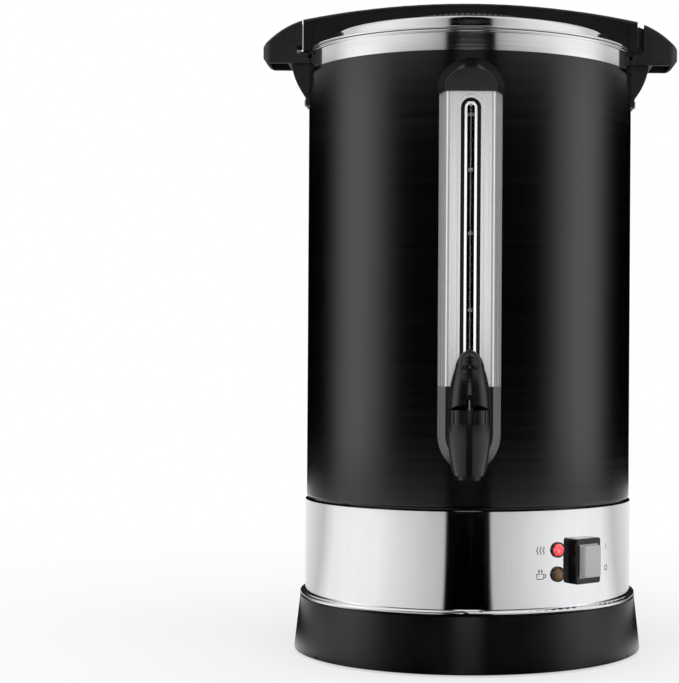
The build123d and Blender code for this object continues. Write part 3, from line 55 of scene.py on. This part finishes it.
# Marks
FIGURE_HEIGHT = 0.0026
FIGURE_THICKNESS = 0.00006
FIGURE_PLACES = {100: 0.4180, 80: 0.3770, 60: 0.3300, 40: 0.2730}
MARK_WIDTH = 0.0007
MARK_RELIEF = 0.2
LAMP_MARK_AZIMUTH = radians(24.2)
SWITCH_MARK_AZIMUTH = radians(54.0)
SWITCH_MARK_RISE = 0.0083
WAVE = [(0.0, -0.003), (0.0011, -0.0017), (-0.0011, 0.0), (0.0011, 0.0017), (0.0, 0.003)]
WAVE_SPACING = 0.0026
CUP = [(-0.003, 0.0008), (-0.0027, -0.003), (0.0, -0.0031), (0.0027, -0.003), (0.003, 0.0008),
       (-0.003, 0.0008)]
CUP_HANDLE = [(0.0029, 0.0003), (0.0052, 0.0002), (0.0045, -0.0022), (0.0026, -0.0019)]
LEVEL_BAR_Z = 0.4268
LEVEL_POINT = [(-0.0014, 0.4254), (0.0, 0.4240), (0.0014, 0.4254)]
LEVEL_MARK_WIDTH = 0.0006

# Camera
CAMERA_DISTANCE = 1.4398
CAMERA_Z = 0.2411
CAMERA_TURN = radians(-0.3)
CAMERA_ROLL = 0.006

# Studio: stops are degrees from the front and a level
SIDE_LIGHT = [(0, 0.0), (37, 0.0), (46, 0.03), (54, 0.17), (62, 0.50), (71, 0.82), (80, 1.0), (89, 0.86),
              (99, 0.50), (109, 0.14), (119, 0.02), (128, 0.0), (180, 0.0)]
HIGH_LIGHT = [(0, 0.0), (15.5, 0.0), (18, 0.44), (28, 0.66), (46, 0.9), (67, 1.0), (92, 0.96), (107, 0.7),
              (140, 0.7), (180, 0.7)]
FLOOR_LIGHT = [(0, 0.0), (13.5, 0.0), (15, 0.52), (35, 0.70), (60, 0.95), (80, 1.0), (100, 0.95), (116, 0.6),
               (150, 0.85), (180, 0.9)]
SIDE_LIGHT_GAIN = 1.5
STRIP_LEVEL = 1.35
FLOOR_CARD_Z = 0.002


# Node trees

class Nodes:
    """A node tree, and short ways to add nodes to it."""

    def __init__(self, tree):
        self.tree = tree

    def feed(self, socket, value):
        """Link a socket to another one, or set its constant value."""
        if isinstance(value, bpy.types.NodeSocket):
            self.tree.links.new(value, socket)
        else:
            socket.default_value = value

    def add(self, kind, inputs, **settings):
        node = self.tree.nodes.new("ShaderNode" + kind)
        for name, value in settings.items():
            setattr(node, name, value)
        for socket, value in inputs.items():
            self.feed(node.inputs[socket], value)
        return node

    def calc(self, operation, first, second):
        return self.add("Math", {0: first, 1: second}, operation=operation).outputs[0]

    def mean(self, first, second):
        return self.calc("MULTIPLY", self.calc("ADD", first, second), 0.5)

    def spread(self, value, low, high, start=0.3, stop=0.7):
        """A value between start and stop, laid out between low and high."""
        ends = {"From Min": start, "From Max": stop, "To Min": low, "To Max": high}
        return self.add("MapRange", {"Value": value, **ends}).outputs[0]

    def seen(self):
        """1 for rays that show a surface straight, mirrored or through glass, and 0 for other light."""
        path = self.add("LightPath", {}).outputs
        straight = self.calc("MAXIMUM", path["Is Camera Ray"], path["Is Glossy Ray"])
        return self.calc("MAXIMUM", straight, path["Is Transmission Ray"])


class Surface(Nodes):
    """A node material with one principled shader."""

    def __init__(self, name, **values):
        self.material = bpy.data.materials.new(name)
        self.material.use_nodes = True
        super().__init__(self.material.node_tree)
        self.shader = self.tree.nodes["Principled BSDF"]
        for socket, value in values.items():
            self.feed(self.shader.inputs[socket.replace("_", " ")], value)

    def place(self):
        """A point of the object, in metres."""
        return self.add("TexCoord", {}).outputs["Object"]

    def distance(self):
        """How far a point lies from the origin."""
        return self.add("VectorMath", {0: self.place()}, operation="LENGTH").outputs["Value"]

    def azimuth(self, x, y):
        """The angle from the front, round the urn's axis."""
        return self.calc("ARCTAN2", x, self.calc("MULTIPLY", y, -1.0))

    def round_place(self):
        """A point as arc length round the urn's axis, distance from the axis, and height."""
        x, y, z = self.add("SeparateXYZ", {0: self.place()}).outputs
        arc = self.calc("MULTIPLY", self.azimuth(x, y), SHELL_RADIUS)
        flat = self.add("CombineXYZ", {0: x, 1: y, 2: 0.0}).outputs[0]
        distance = self.add("VectorMath", {0: flat}, operation="LENGTH").outputs["Value"]
        return self.add("CombineXYZ", {0: arc, 1: distance, 2: z}).outputs[0]

    def half_turn(self):
        """How far round a point lies, from 0 at the front to 1 at the back, and its height."""
        x, y, z = self.add("SeparateXYZ", {0: self.place()}).outputs
        return self.calc("DIVIDE", self.calc("ABSOLUTE", self.azimuth(x, y), 0.0), pi), z

    def noise(self, vector, scale, detail=3.0):
        stretched = self.add("Mapping", {"Vector": vector, "Scale": scale}).outputs[0]
        settings = {"Scale": 1.0, "Detail": detail, "Roughness": 0.55}
        return self.add("TexNoise", {"Vector": stretched, **settings}).outputs[0]

    def tint(self, value, dark, light):
        ramp = self.add("ValToRGB", {0: value})
        for element, position, tone in zip(ramp.color_ramp.elements, (0.3, 0.7), (dark, light)):
            element.position = position
            element.color = (*tone, 1.0)
        return ramp.outputs[0]

    def level(self, turn, stops):
        """A level that runs through stops, for a half turn from 0 to 1."""
        ramp = self.add("ValToRGB", {0: turn})
        elements = ramp.color_ramp.elements
        elements[0].color = (*[stops[0][1]] * 3, 1.0)
        elements[1].color = (*[stops[-1][1]] * 3, 1.0)
        for degrees, level in stops[1:-1]:
            elements.new(degrees / 180).color = (level, level, level, 1.0)
        return ramp.outputs[0]

    def bump(self, height, depth):
        node = self.add("Bump", {"Height": height, "Distance": depth, "Strength": 1.0})
        self.feed(self.shader.inputs["Normal"], node.outputs[0])

    def colour(self, value, dark, light):
        self.feed(self.shader.inputs["Base Color"], self.tint(value, dark, light))

    def gloss(self, value, low, high):
        self.feed(self.shader.inputs["Roughness"], self.spread(value, low, high))

    def show(self, shader):
        """Put another shader in the principled one's place."""
        self.feed(self.tree.nodes["Material Output"].inputs[0], shader)

    def emission(self, strength):
        return self.add("Emission", {"Strength": strength}).outputs[0]


# Materials

def grey(level):
    return (level, level, level * 1.02)


def brushed(name, place_of, along, across, tone, rough, depth, metallic=1.0):
    """Metal with fine brushing and broad, faint clouds."""
    surface = Surface(name, Metallic=metallic)
    vector = place_of(surface)
    streaks = surface.noise(vector, along, 4.0)
    clouds = surface.noise(vector, across, 2.0)
    surface.colour(surface.mean(streaks, clouds), grey(tone[0]), grey(tone[1]))
    surface.gloss(streaks, *rough)
    surface.bump(streaks, depth)
    return surface.material


def moulded(name, dark, light, rough, grain, depth, specular=0.4):
    """Moulded plastic or rubber with a fine grain and faint clouds."""
    surface = Surface(name, Specular_IOR_Level=specular)
    point = surface.place()
    fine = surface.noise(point, (grain, grain, grain), 2.0)
    clouds = surface.noise(point, (60.0, 60.0, 60.0))
    surface.colour(clouds, dark, light)
    surface.gloss(clouds, *rough)
    surface.bump(fine, depth)
    return surface.material


def enamel(name):
    """Black coating over circular brushing, which shows as faint level streaks."""
    surface = Surface(name, Specular_IOR_Level=0.6)
    vector = surface.round_place()
    streaks = surface.noise(vector, (3.0, 1.0, 900.0), 4.0)
    broad = surface.noise(vector, (2.0, 1.0, 160.0), 2.0)
    surface.colour(surface.mean(streaks, broad), grey(0.0006), grey(0.0016))
    surface.gloss(broad, 0.14, 0.18)
    surface.bump(streaks, 0.000003)
    return surface.material


def lens(name, dark, light, glow=None, strength=0.0):
    """A moulded lamp lens with facets inside, lit if it has a glow."""
    surface = Surface(name, Transmission_Weight=0.35, IOR=1.49, Coat_Weight=0.6, Coat_Roughness=0.04)
    point = surface.place()
    cells = surface.add("TexVoronoi", {"Vector": point, "Scale": 420.0}, feature="F1").outputs["Distance"]
    surface.colour(surface.spread(cells, 0.2, 0.8, 0.0, 0.9), dark, light)
    surface.gloss(cells, 0.12, 0.3)
    surface.bump(cells, 0.0002)
    if glow:
        surface.feed(surface.shader.inputs["Emission Color"], surface.tint(cells, glow, light))
        surface.feed(surface.shader.inputs["Emission Strength"], strength)
    return surface.material


def clear(name, tone, rough, weight, ior):
    """Glass or clear soft plastic, with faint flow marks."""
    surface = Surface(name, Transmission_Weight=weight, IOR=ior)
    flow = surface.noise(surface.place(), (120.0, 120.0, 14.0))
    surface.colour(flow, tuple(0.94 * c for c in tone), tone)
    surface.gloss(flow, *rough)
    surface.bump(flow, 0.00004)
    return surface.material


def printed(name, dark, light):
    """Ink with a slightly uneven cover."""
    return moulded(name, dark, light, (0.45, 0.6), 3000.0, 0.00001)


def two_tone(name):
    """Black moulding with a painted sheen: walls that face sideways get a satin grey base colour, which stands
    in for the side lights' reflection on them.
    """
    surface = Surface(name, Specular_IOR_Level=0.4)
    normal = surface.add("NewGeometry", {}).outputs["Normal"]
    across = surface.add("SeparateXYZ", {0: normal}).outputs[0]
    # Painted sheen mask: 1 on walls that face sideways, towards the side lights, and 0 on the front.
    side = surface.spread(surface.calc("ABSOLUTE", across, 0.0), 0.0, 1.0, 0.55, 0.85)
    # The black is the moulding's own colour; the grey is painted sheen from the side lights.
    tones = {6: (0.004, 0.004, 0.004, 1.0), 7: (0.16, 0.16, 0.165, 1.0)}
    tone = surface.add("Mix", {0: side, **tones}, data_type="RGBA").outputs[2]
    surface.feed(surface.shader.inputs["Base Color"], tone)
    grain = surface.noise(surface.place(), (2600.0, 2600.0, 2600.0), 2.0)
    surface.gloss(grain, 0.30, 0.40)
    surface.bump(grain, 0.00003)
    return surface.material


def plain_brass(name):
    surface = Surface(name, Metallic=1.0)
    clouds = surface.noise(surface.place(), (90.0, 90.0, 90.0))
    surface.colour(clouds, (0.60, 0.44, 0.18), (0.74, 0.57, 0.28))
    surface.gloss(clouds, 0.22, 0.36)
    return surface.material


black_plastic = moulded("black_plastic", grey(0.003), grey(0.006), (0.26, 0.36), 2600.0, 0.00003, 0.35)
base_plastic = moulded("base_plastic", grey(0.0015), grey(0.003), (0.18, 0.24), 2600.0, 0.00001, 0.35)
handle_plastic = moulded("handle_plastic", grey(0.007), grey(0.012), (0.26, 0.36), 2600.0, 0.00003, 0.5)
gloss_plastic = moulded("gloss_black_plastic", grey(0.004), grey(0.007), (0.14, 0.20), 2200.0, 0.00001, 0.45)
# The tap housing's grey side walls are a painted sheen from the side lights.
housing_plastic = two_tone("painted_side_sheen_plastic")
insert_plastic = moulded("insert_plastic", grey(0.001), grey(0.002), (0.10, 0.16), 1500.0, 0.00001, 0.12)
black_enamel = enamel("black_enamel")
bright_steel = brushed("bright_steel", Surface.round_place, (320.0, 40.0, 5.0), (22.0, 5.0, 2.0),
                       (0.82, 0.88), (0.05, 0.09), 0.000002)
trim_steel = brushed("trim_steel", Surface.round_place, (5.0, 60.0, 700.0), (12.0, 5.0, 60.0),
                     (0.78, 0.86), (0.10, 0.18), 0.000004)
turned_steel = brushed("turned_steel", Surface.round_place, (4.0, 900.0, 900.0), (8.0, 90.0, 90.0),
                       (0.76, 0.84), (0.07, 0.12), 0.000003)
column_steel = brushed("column_steel", Surface.place, (900.0, 900.0, 4.0), (60.0, 60.0, 3.0),
                       (0.76, 0.84), (0.22, 0.30), 0.000004, 0.6)
plain_steel = brushed("plain_steel", Surface.place, (260.0, 260.0, 260.0), (40.0, 40.0, 40.0),
                      (0.48, 0.60), (0.28, 0.42), 0.000010)
cast_aluminium = brushed("cast_aluminium", Surface.place, (700.0, 700.0, 700.0), (60.0, 60.0, 60.0),
                         (0.5, 0.62), (0.42, 0.58), 0.00004)
black_rubber = moulded("black_rubber", grey(0.012), grey(0.022), (0.62, 0.78), 1800.0, 0.00006, 0.25)
silicone = moulded("silicone", grey(0.42), grey(0.52), (0.40, 0.52), 900.0, 0.00003)
wire_sleeve = moulded("wire_sleeve", (0.10, 0.03, 0.03), (0.16, 0.05, 0.04), (0.5, 0.65), 2400.0, 0.00005)
clear_glass = clear("clear_glass", (0.96, 0.98, 0.98), (0.02, 0.05), 1.0, 1.47)
clear_cover = clear("clear_cover", (0.62, 0.63, 0.64), (0.14, 0.24), 0.25, 1.43)
red_lens = lens("red_lens", (0.55, 0.01, 0.02), (0.95, 0.20, 0.22), (0.80, 0.02, 0.04), 0.55)
amber_lens = lens("amber_lens", (0.10, 0.040, 0.008), (0.30, 0.14, 0.035))
dark_ink = printed("dark_ink", grey(0.05), grey(0.09))
pale_ink = printed("pale_ink", grey(0.62), grey(0.78))
brass = plain_brass("brass")

FINISHES = {
    black_enamel: ["outer_shell"],
    bright_steel: ["control_band"],
    trim_steel: ["trim_ring", "window_trim"],
    turned_steel: ["rim_collar", "tank", "tank_floor", "lid_cover", "pump_tube", "pump_bell", "coffee_basket",
                   "basket_cover"],
    column_steel: ["gauge_cover"],
    base_plastic: ["base_skirt"],
    handle_plastic: ["left_handle", "right_handle", "power_inlet", "terminal_block"],
    black_plastic: ["lid_bar"],
    housing_plastic: ["tap_housing"],
    gloss_plastic: ["gauge_cap", "tap_body", "tap_bonnet", "tap_lever", "switch_housing", "switch_rocker",
                    "heating_lamp_body", "warming_lamp_body"],
    insert_plastic: ["gauge_bezel"],
    plain_steel: ["base_plate", "base_screws", "lid_bar_screws", "handle_screws", "lug_screws", "gauge_screws",
                  "tap_shank", "tap_nut", "tap_stem", "tap_spring", "lever_pin", "heating_element",
                  "warming_band", "thermostat", "thermal_fuse", "tie_rods", "tie_nuts"],
    black_rubber: ["rubber_feet", "seat_cup"],
    silicone: ["lid_gasket", "tube_seals", "tap_seals"],
    clear_glass: ["sight_tube"],
    clear_cover: ["splash_cover"],
    red_lens: ["heating_lamp_lens"],
    amber_lens: ["warming_lamp_lens"],
    cast_aluminium: ["heater_plate"],
    brass: ["inlet_pins", "switch_terminals"],
    wire_sleeve: ["wiring"],
}
for finish, names in FINISHES.items():
    for name in names:
        if name in nodes:
            nodes[name].data.materials.clear()
            nodes[name].data.materials.append(finish)


# Small pieces

def keep(name, mesh, material, body):
    """Add a mesh to the scene as a piece that rides on a body."""
    mesh.materials.clear()
    mesh.materials.append(material)
    piece = bpy.data.objects.new(name, mesh)
    bpy.context.collection.objects.link(piece)
    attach(piece, body)
    return piece


def mesh_of(curve):
    """The mesh of a curve or text, with the curve taken away again."""
    holder = bpy.data.objects.new("holder", curve)
    bpy.context.collection.objects.link(holder)
    mesh = bpy.data.meshes.new_from_object(holder.evaluated_get(bpy.context.evaluated_depsgraph_get()))
    bpy.data.objects.remove(holder)
    return mesh


def lettering(words, height, thickness):
    """Plain letters, centred, in the plane of x and y."""
    curve = bpy.data.curves.new("letters", "FONT")
    curve.body = words
    curve.size = height * 1.4
    curve.align_x = "CENTER"
    curve.align_y = "CENTER"
    curve.extrude = thickness / 2
    curve.resolution_u = 6
    return mesh_of(curve)


def strokes(lines, width, closed=False):
    """Round tubes along lines of points."""
    curve = bpy.data.curves.new("strokes", "CURVE")
    curve.dimensions = "3D"
    curve.bevel_depth = width / 2
    curve.bevel_resolution = 3
    curve.use_fill_caps = True
    for line in lines:
        spline = curve.splines.new("POLY")
        spline.points.add(len(line) - 1)
        for point, place in zip(spline.points, line):
            point.co = (*place, 1.0)
        spline.use_cyclic_u = closed
    return mesh_of(curve)


def smooth_line(points, count=18):
    """A smooth line through a few flat points, as evenly spaced places."""
    curve = bpy.data.curves.new("line", "CURVE")
    curve.dimensions = "3D"
    curve.resolution_u = count
    spline = curve.splines.new("NURBS")
    spline.points.add(len(points) - 1)
    for point, (x, y) in zip(spline.points, points):
        point.co = (x, y, 0.0, 1.0)
    spline.order_u = 3
    spline.use_endpoint_u = True
    return [tuple(vertex.co) for vertex in mesh_of(curve).vertices]


def wrap(mesh, radius, azimuth, height, axis_y=0.0):
    """Bend a flat mesh onto an upright cylinder, its middle at an azimuth from the front and a height."""
    for vertex in mesh.vertices:
        across, up, out = vertex.co
        angle = azimuth + across / radius
        reach = radius + out
        vertex.co = (reach * sin(angle), axis_y - reach * cos(angle), height + up)
    return mesh


def surface_of(name):
    mesh = nodes[name].data
    return BVHTree.FromPolygons([v.co for v in mesh.vertices], [p.vertices for p in mesh.polygons])


def front_of(tree, x, z, lift):
    """The point of a surface seen from the front at x and z, lifted off it."""
    place, normal = tree.ray_cast(Vector((x, -0.4, z)), Vector((0.0, 1.0, 0.0)))[:2]
    return place + normal * lift


def oval(tree, z, half_width, half_height, lift, count=56):
    """An oval line on the front of a surface."""
    turns = [2 * pi * i / count for i in range(count)]
    return [front_of(tree, half_width * sin(t), z + half_height * cos(t), lift) for t in turns]


def side_of(tree, side, z):
    """The widest point of a surface on one side at a height, near the tap's axis."""
    places = []
    for step in range(-12, 13):
        start = Vector((side * 0.1, TAP_Y + step * 0.001, z))
        place = tree.ray_cast(start, Vector((-side, 0.0, 0.0)))[0]
        if place is not None:
            places.append(place)
    return max(places, key=lambda place: side * place.x)


def on_band(name, lines, azimuth, height):
    """A flattened mark on the control band."""
    mark = wrap(strokes(lines, MARK_WIDTH), BAND_RADIUS, azimuth, height)
    for vertex in mark.vertices:
        reach = (vertex.co.x ** 2 + vertex.co.y ** 2) ** 0.5
        flat = BAND_RADIUS + (reach - BAND_RADIUS) * MARK_RELIEF
        vertex.co.x *= flat / reach
        vertex.co.y *= flat / reach
    keep(name, mark, dark_ink, "urn")


lever = surface_of("tap_lever")
pad_rim = strokes([oval(lever, PAD_Z, 0.0066, 0.0108, 0.0)], PAD_RIM_WIDTH, True)
keep("lever_pad_rim", pad_rim, gloss_plastic, "lever")
grips = [oval(lever, PAD_Z + step * GRIP_SPACING, 0.0036, 0.0014, 0.0002) for step in (-1, 0, 1)]
keep("lever_pad_grips", strokes(grips, GRIP_WIDTH, True), gloss_plastic, "lever")

tap = surface_of("tap_body")
heights = [SEAM_LOW_Z + SEAM_HEIGHT * i / SEAM_STEPS for i in range(SEAM_STEPS + 1)]
seams = [[side_of(tap, side, z) for z in heights] for side in (-1, 1)]
keep("tap_side_seams", strokes(seams, SEAM_WIDTH), gloss_plastic, "urn")

for level, height in FIGURE_PLACES.items():
    figures = lettering(str(level), FIGURE_HEIGHT, FIGURE_THICKNESS)
    wrap(figures, TUBE_RADIUS + FIGURE_THICKNESS, 0.0, height, TUBE_Y)
    keep(f"gauge_figures_{level}", figures, pale_ink, "urn")

heat_lines = [smooth_line([(px + step * WAVE_SPACING, py) for px, py in WAVE]) for step in (-1, 0, 1)]
on_band("heating_mark", heat_lines, LAMP_MARK_AZIMUTH, PANEL_Z + LAMP_SPACING / 2)
cup_lines = [[(x, y, 0.0) for x, y in CUP], smooth_line(CUP_HANDLE)]
cup_lines += [smooth_line([(px * 0.8 + x, py * 0.42 + 0.0029) for px, py in WAVE]) for x in (-0.0012, 0.0012)]
on_band("warming_mark", cup_lines, LAMP_MARK_AZIMUTH, PANEL_Z - LAMP_SPACING / 2)
on_line = [(0.0, -0.002, 0.0), (0.0, 0.002, 0.0)]
on_band("switch_on_mark", [on_line], SWITCH_MARK_AZIMUTH, PANEL_Z + SWITCH_MARK_RISE)
off_ring = [(0.0018 * cos(pi * i / 16), 0.002 * sin(pi * i / 16), 0.0) for i in range(33)]
on_band("switch_off_mark", [off_ring], SWITCH_MARK_AZIMUTH, PANEL_Z - SWITCH_MARK_RISE)

level_lines = [[(x, INSERT_FRONT_Y, LEVEL_BAR_Z) for x in (-0.0026, 0.0026)],
               [(x, INSERT_FRONT_Y, z) for x, z in LEVEL_POINT]]
keep("highest_level_mark", strokes(level_lines, LEVEL_MARK_WIDTH), pale_ink, "urn")


# Camera, light and floor

scene = bpy.context.scene
camera = bpy.data.cameras.new("camera")
camera.lens = 92.075
camera.sensor_width = 36.0
camera.sensor_fit = "AUTO"
camera.shift_x = -0.18893
camera.shift_y = 0.01742
camera_object = bpy.data.objects.new("camera", camera)
camera_object.location = (CAMERA_DISTANCE * sin(CAMERA_TURN), -CAMERA_DISTANCE * cos(CAMERA_TURN), CAMERA_Z)
tilt = Matrix.Rotation(pi / 2, 4, "X") @ Matrix.Rotation(CAMERA_ROLL, 4, "Z")
camera_object.rotation_euler = (Matrix.Rotation(CAMERA_TURN, 4, "Z") @ tilt).to_euler()
scene.collection.objects.link(camera_object)
scene.camera = camera_object
scene.view_settings.view_transform = "Standard"


def soft_box(name, place, target, width, height, power):
    """An area lamp that lights surfaces without showing in reflections."""
    lamp = bpy.data.lights.new(name, "AREA")
    lamp.shape = "RECTANGLE"
    lamp.size = width
    lamp.size_y = height
    lamp.energy = power
    lamp_object = bpy.data.objects.new(name, lamp)
    lamp_object.location = place
    lamp_object.rotation_euler = (Vector(target) - Vector(place)).to_track_quat("-Z", "Y").to_euler()
    lamp_object.visible_glossy = False
    scene.collection.objects.link(lamp_object)


for name, side in (("left_box", -1), ("right_box", 1)):
    soft_box(name, (side * 1.5, -0.38, 0.36), (0.0, 0.0, 0.30), 1.15, 0.62, 3.3)
soft_box("top_box", (0.0, -0.3, 1.9), (0.0, 0.0, 0.3), 1.6, 1.2, 14.0)


def staged(name, places, faces, material):
    """A piece of the studio, which isn't part of the urn."""
    mesh = bpy.data.meshes.new(name)
    mesh.from_pydata(places, [], faces)
    mesh.materials.append(material)
    piece = bpy.data.objects.new(name, mesh)
    scene.collection.objects.link(piece)
    return piece


def square(name, reach, z, material):
    corners = [(-reach, -reach, z), (reach, -reach, z), (reach, reach, z), (-reach, reach, z)]
    return staged(name, corners, [(0, 1, 2, 3)], material)


def only_mirrored(piece):
    """Let a studio card show in reflections and nowhere else."""
    piece.visible_camera = False
    piece.visible_diffuse = False
    piece.visible_transmission = False
    piece.visible_shadow = False


def floor(reach):
    """A pale floor that keeps the urn's shadow and turns white away from it."""
    surface = Surface("floor", Roughness=0.9, Specular_IOR_Level=0.1)
    surface.colour(surface.noise(surface.place(), (3.0, 3.0, 3.0)), grey(0.90), grey(0.92))
    away = surface.spread(surface.distance(), 0.6, 1.0, 0.15, 0.9)
    share = surface.calc("MULTIPLY", surface.seen(), away)
    shaders = {1: surface.shader.outputs[0], 2: surface.emission(1.0)}
    surface.show(surface.add("MixShader", {0: share, **shaders}).outputs[0])
    square("floor", reach, 0.0, surface.material)


def backdrop(radius, height, count=96):
    """A round, closed studio wall that only reflections see: side lights below, bright above a level line."""
    surface = Surface("backdrop")
    turn, z = surface.half_turn()
    low = surface.calc("MULTIPLY", surface.level(turn, SIDE_LIGHT), SIDE_LIGHT_GAIN)
    high = surface.level(turn, HIGH_LIGHT)
    rise = surface.spread(z, 0.0, 1.0, 0.785, 0.81)
    wall = surface.add("Mix", {0: rise, 2: low, 3: high}, data_type="FLOAT").outputs[0]
    strip = surface.spread(turn, STRIP_LEVEL, 0.0, 7 / 180, 10 / 180)
    strip = surface.calc("MULTIPLY", strip, surface.spread(z, 0.0, 1.0, 0.14, 0.18))
    strip = surface.calc("MULTIPLY", strip, surface.spread(z, 1.0, 0.0, 0.715, 0.75))
    surface.show(surface.emission(surface.calc("ADD", wall, strip)))
    turns = [2 * pi * i / count for i in range(count)]
    places = [(radius * cos(t), radius * sin(t), level) for level in (0.0, height) for t in turns]
    faces = [(i, (i + 1) % count, (i + 1) % count + count, i + count) for i in range(count)]
    faces.append(tuple(range(count, 2 * count)))
    only_mirrored(staged("backdrop", places, faces, surface.material))


def floor_card(reach):
    """A card on the floor, dark straight ahead, that only reflections see."""
    surface = Surface("floor_card")
    turn = surface.half_turn()[0]
    distance = surface.distance()
    away = surface.spread(distance, 0.0, 1.0, 0.36, 0.42)
    edge = surface.spread(distance, 1.0, 0.0, 1.55, 1.9)
    near = surface.level(turn, SIDE_LIGHT)
    far = surface.calc("MULTIPLY", surface.level(turn, FLOOR_LIGHT), edge)
    level = surface.add("Mix", {0: away, 2: near, 3: far}, data_type="FLOAT").outputs[0]
    surface.show(surface.emission(level))
    only_mirrored(square("floor_card", reach, FLOOR_CARD_Z, surface.material))


floor(6.0)
backdrop(2.1, 3.2)
floor_card(2.0)

world = bpy.data.worlds.new("studio")
scene.world = world
world.use_nodes = True
sky = Nodes(world.node_tree)
background = world.node_tree.nodes["Background"]
background.inputs["Color"].default_value = (1.0, 1.0, 1.0, 1.0)
sky.feed(background.inputs["Strength"], sky.spread(sky.seen(), 0.6, 1.0, 0.0, 1.0))
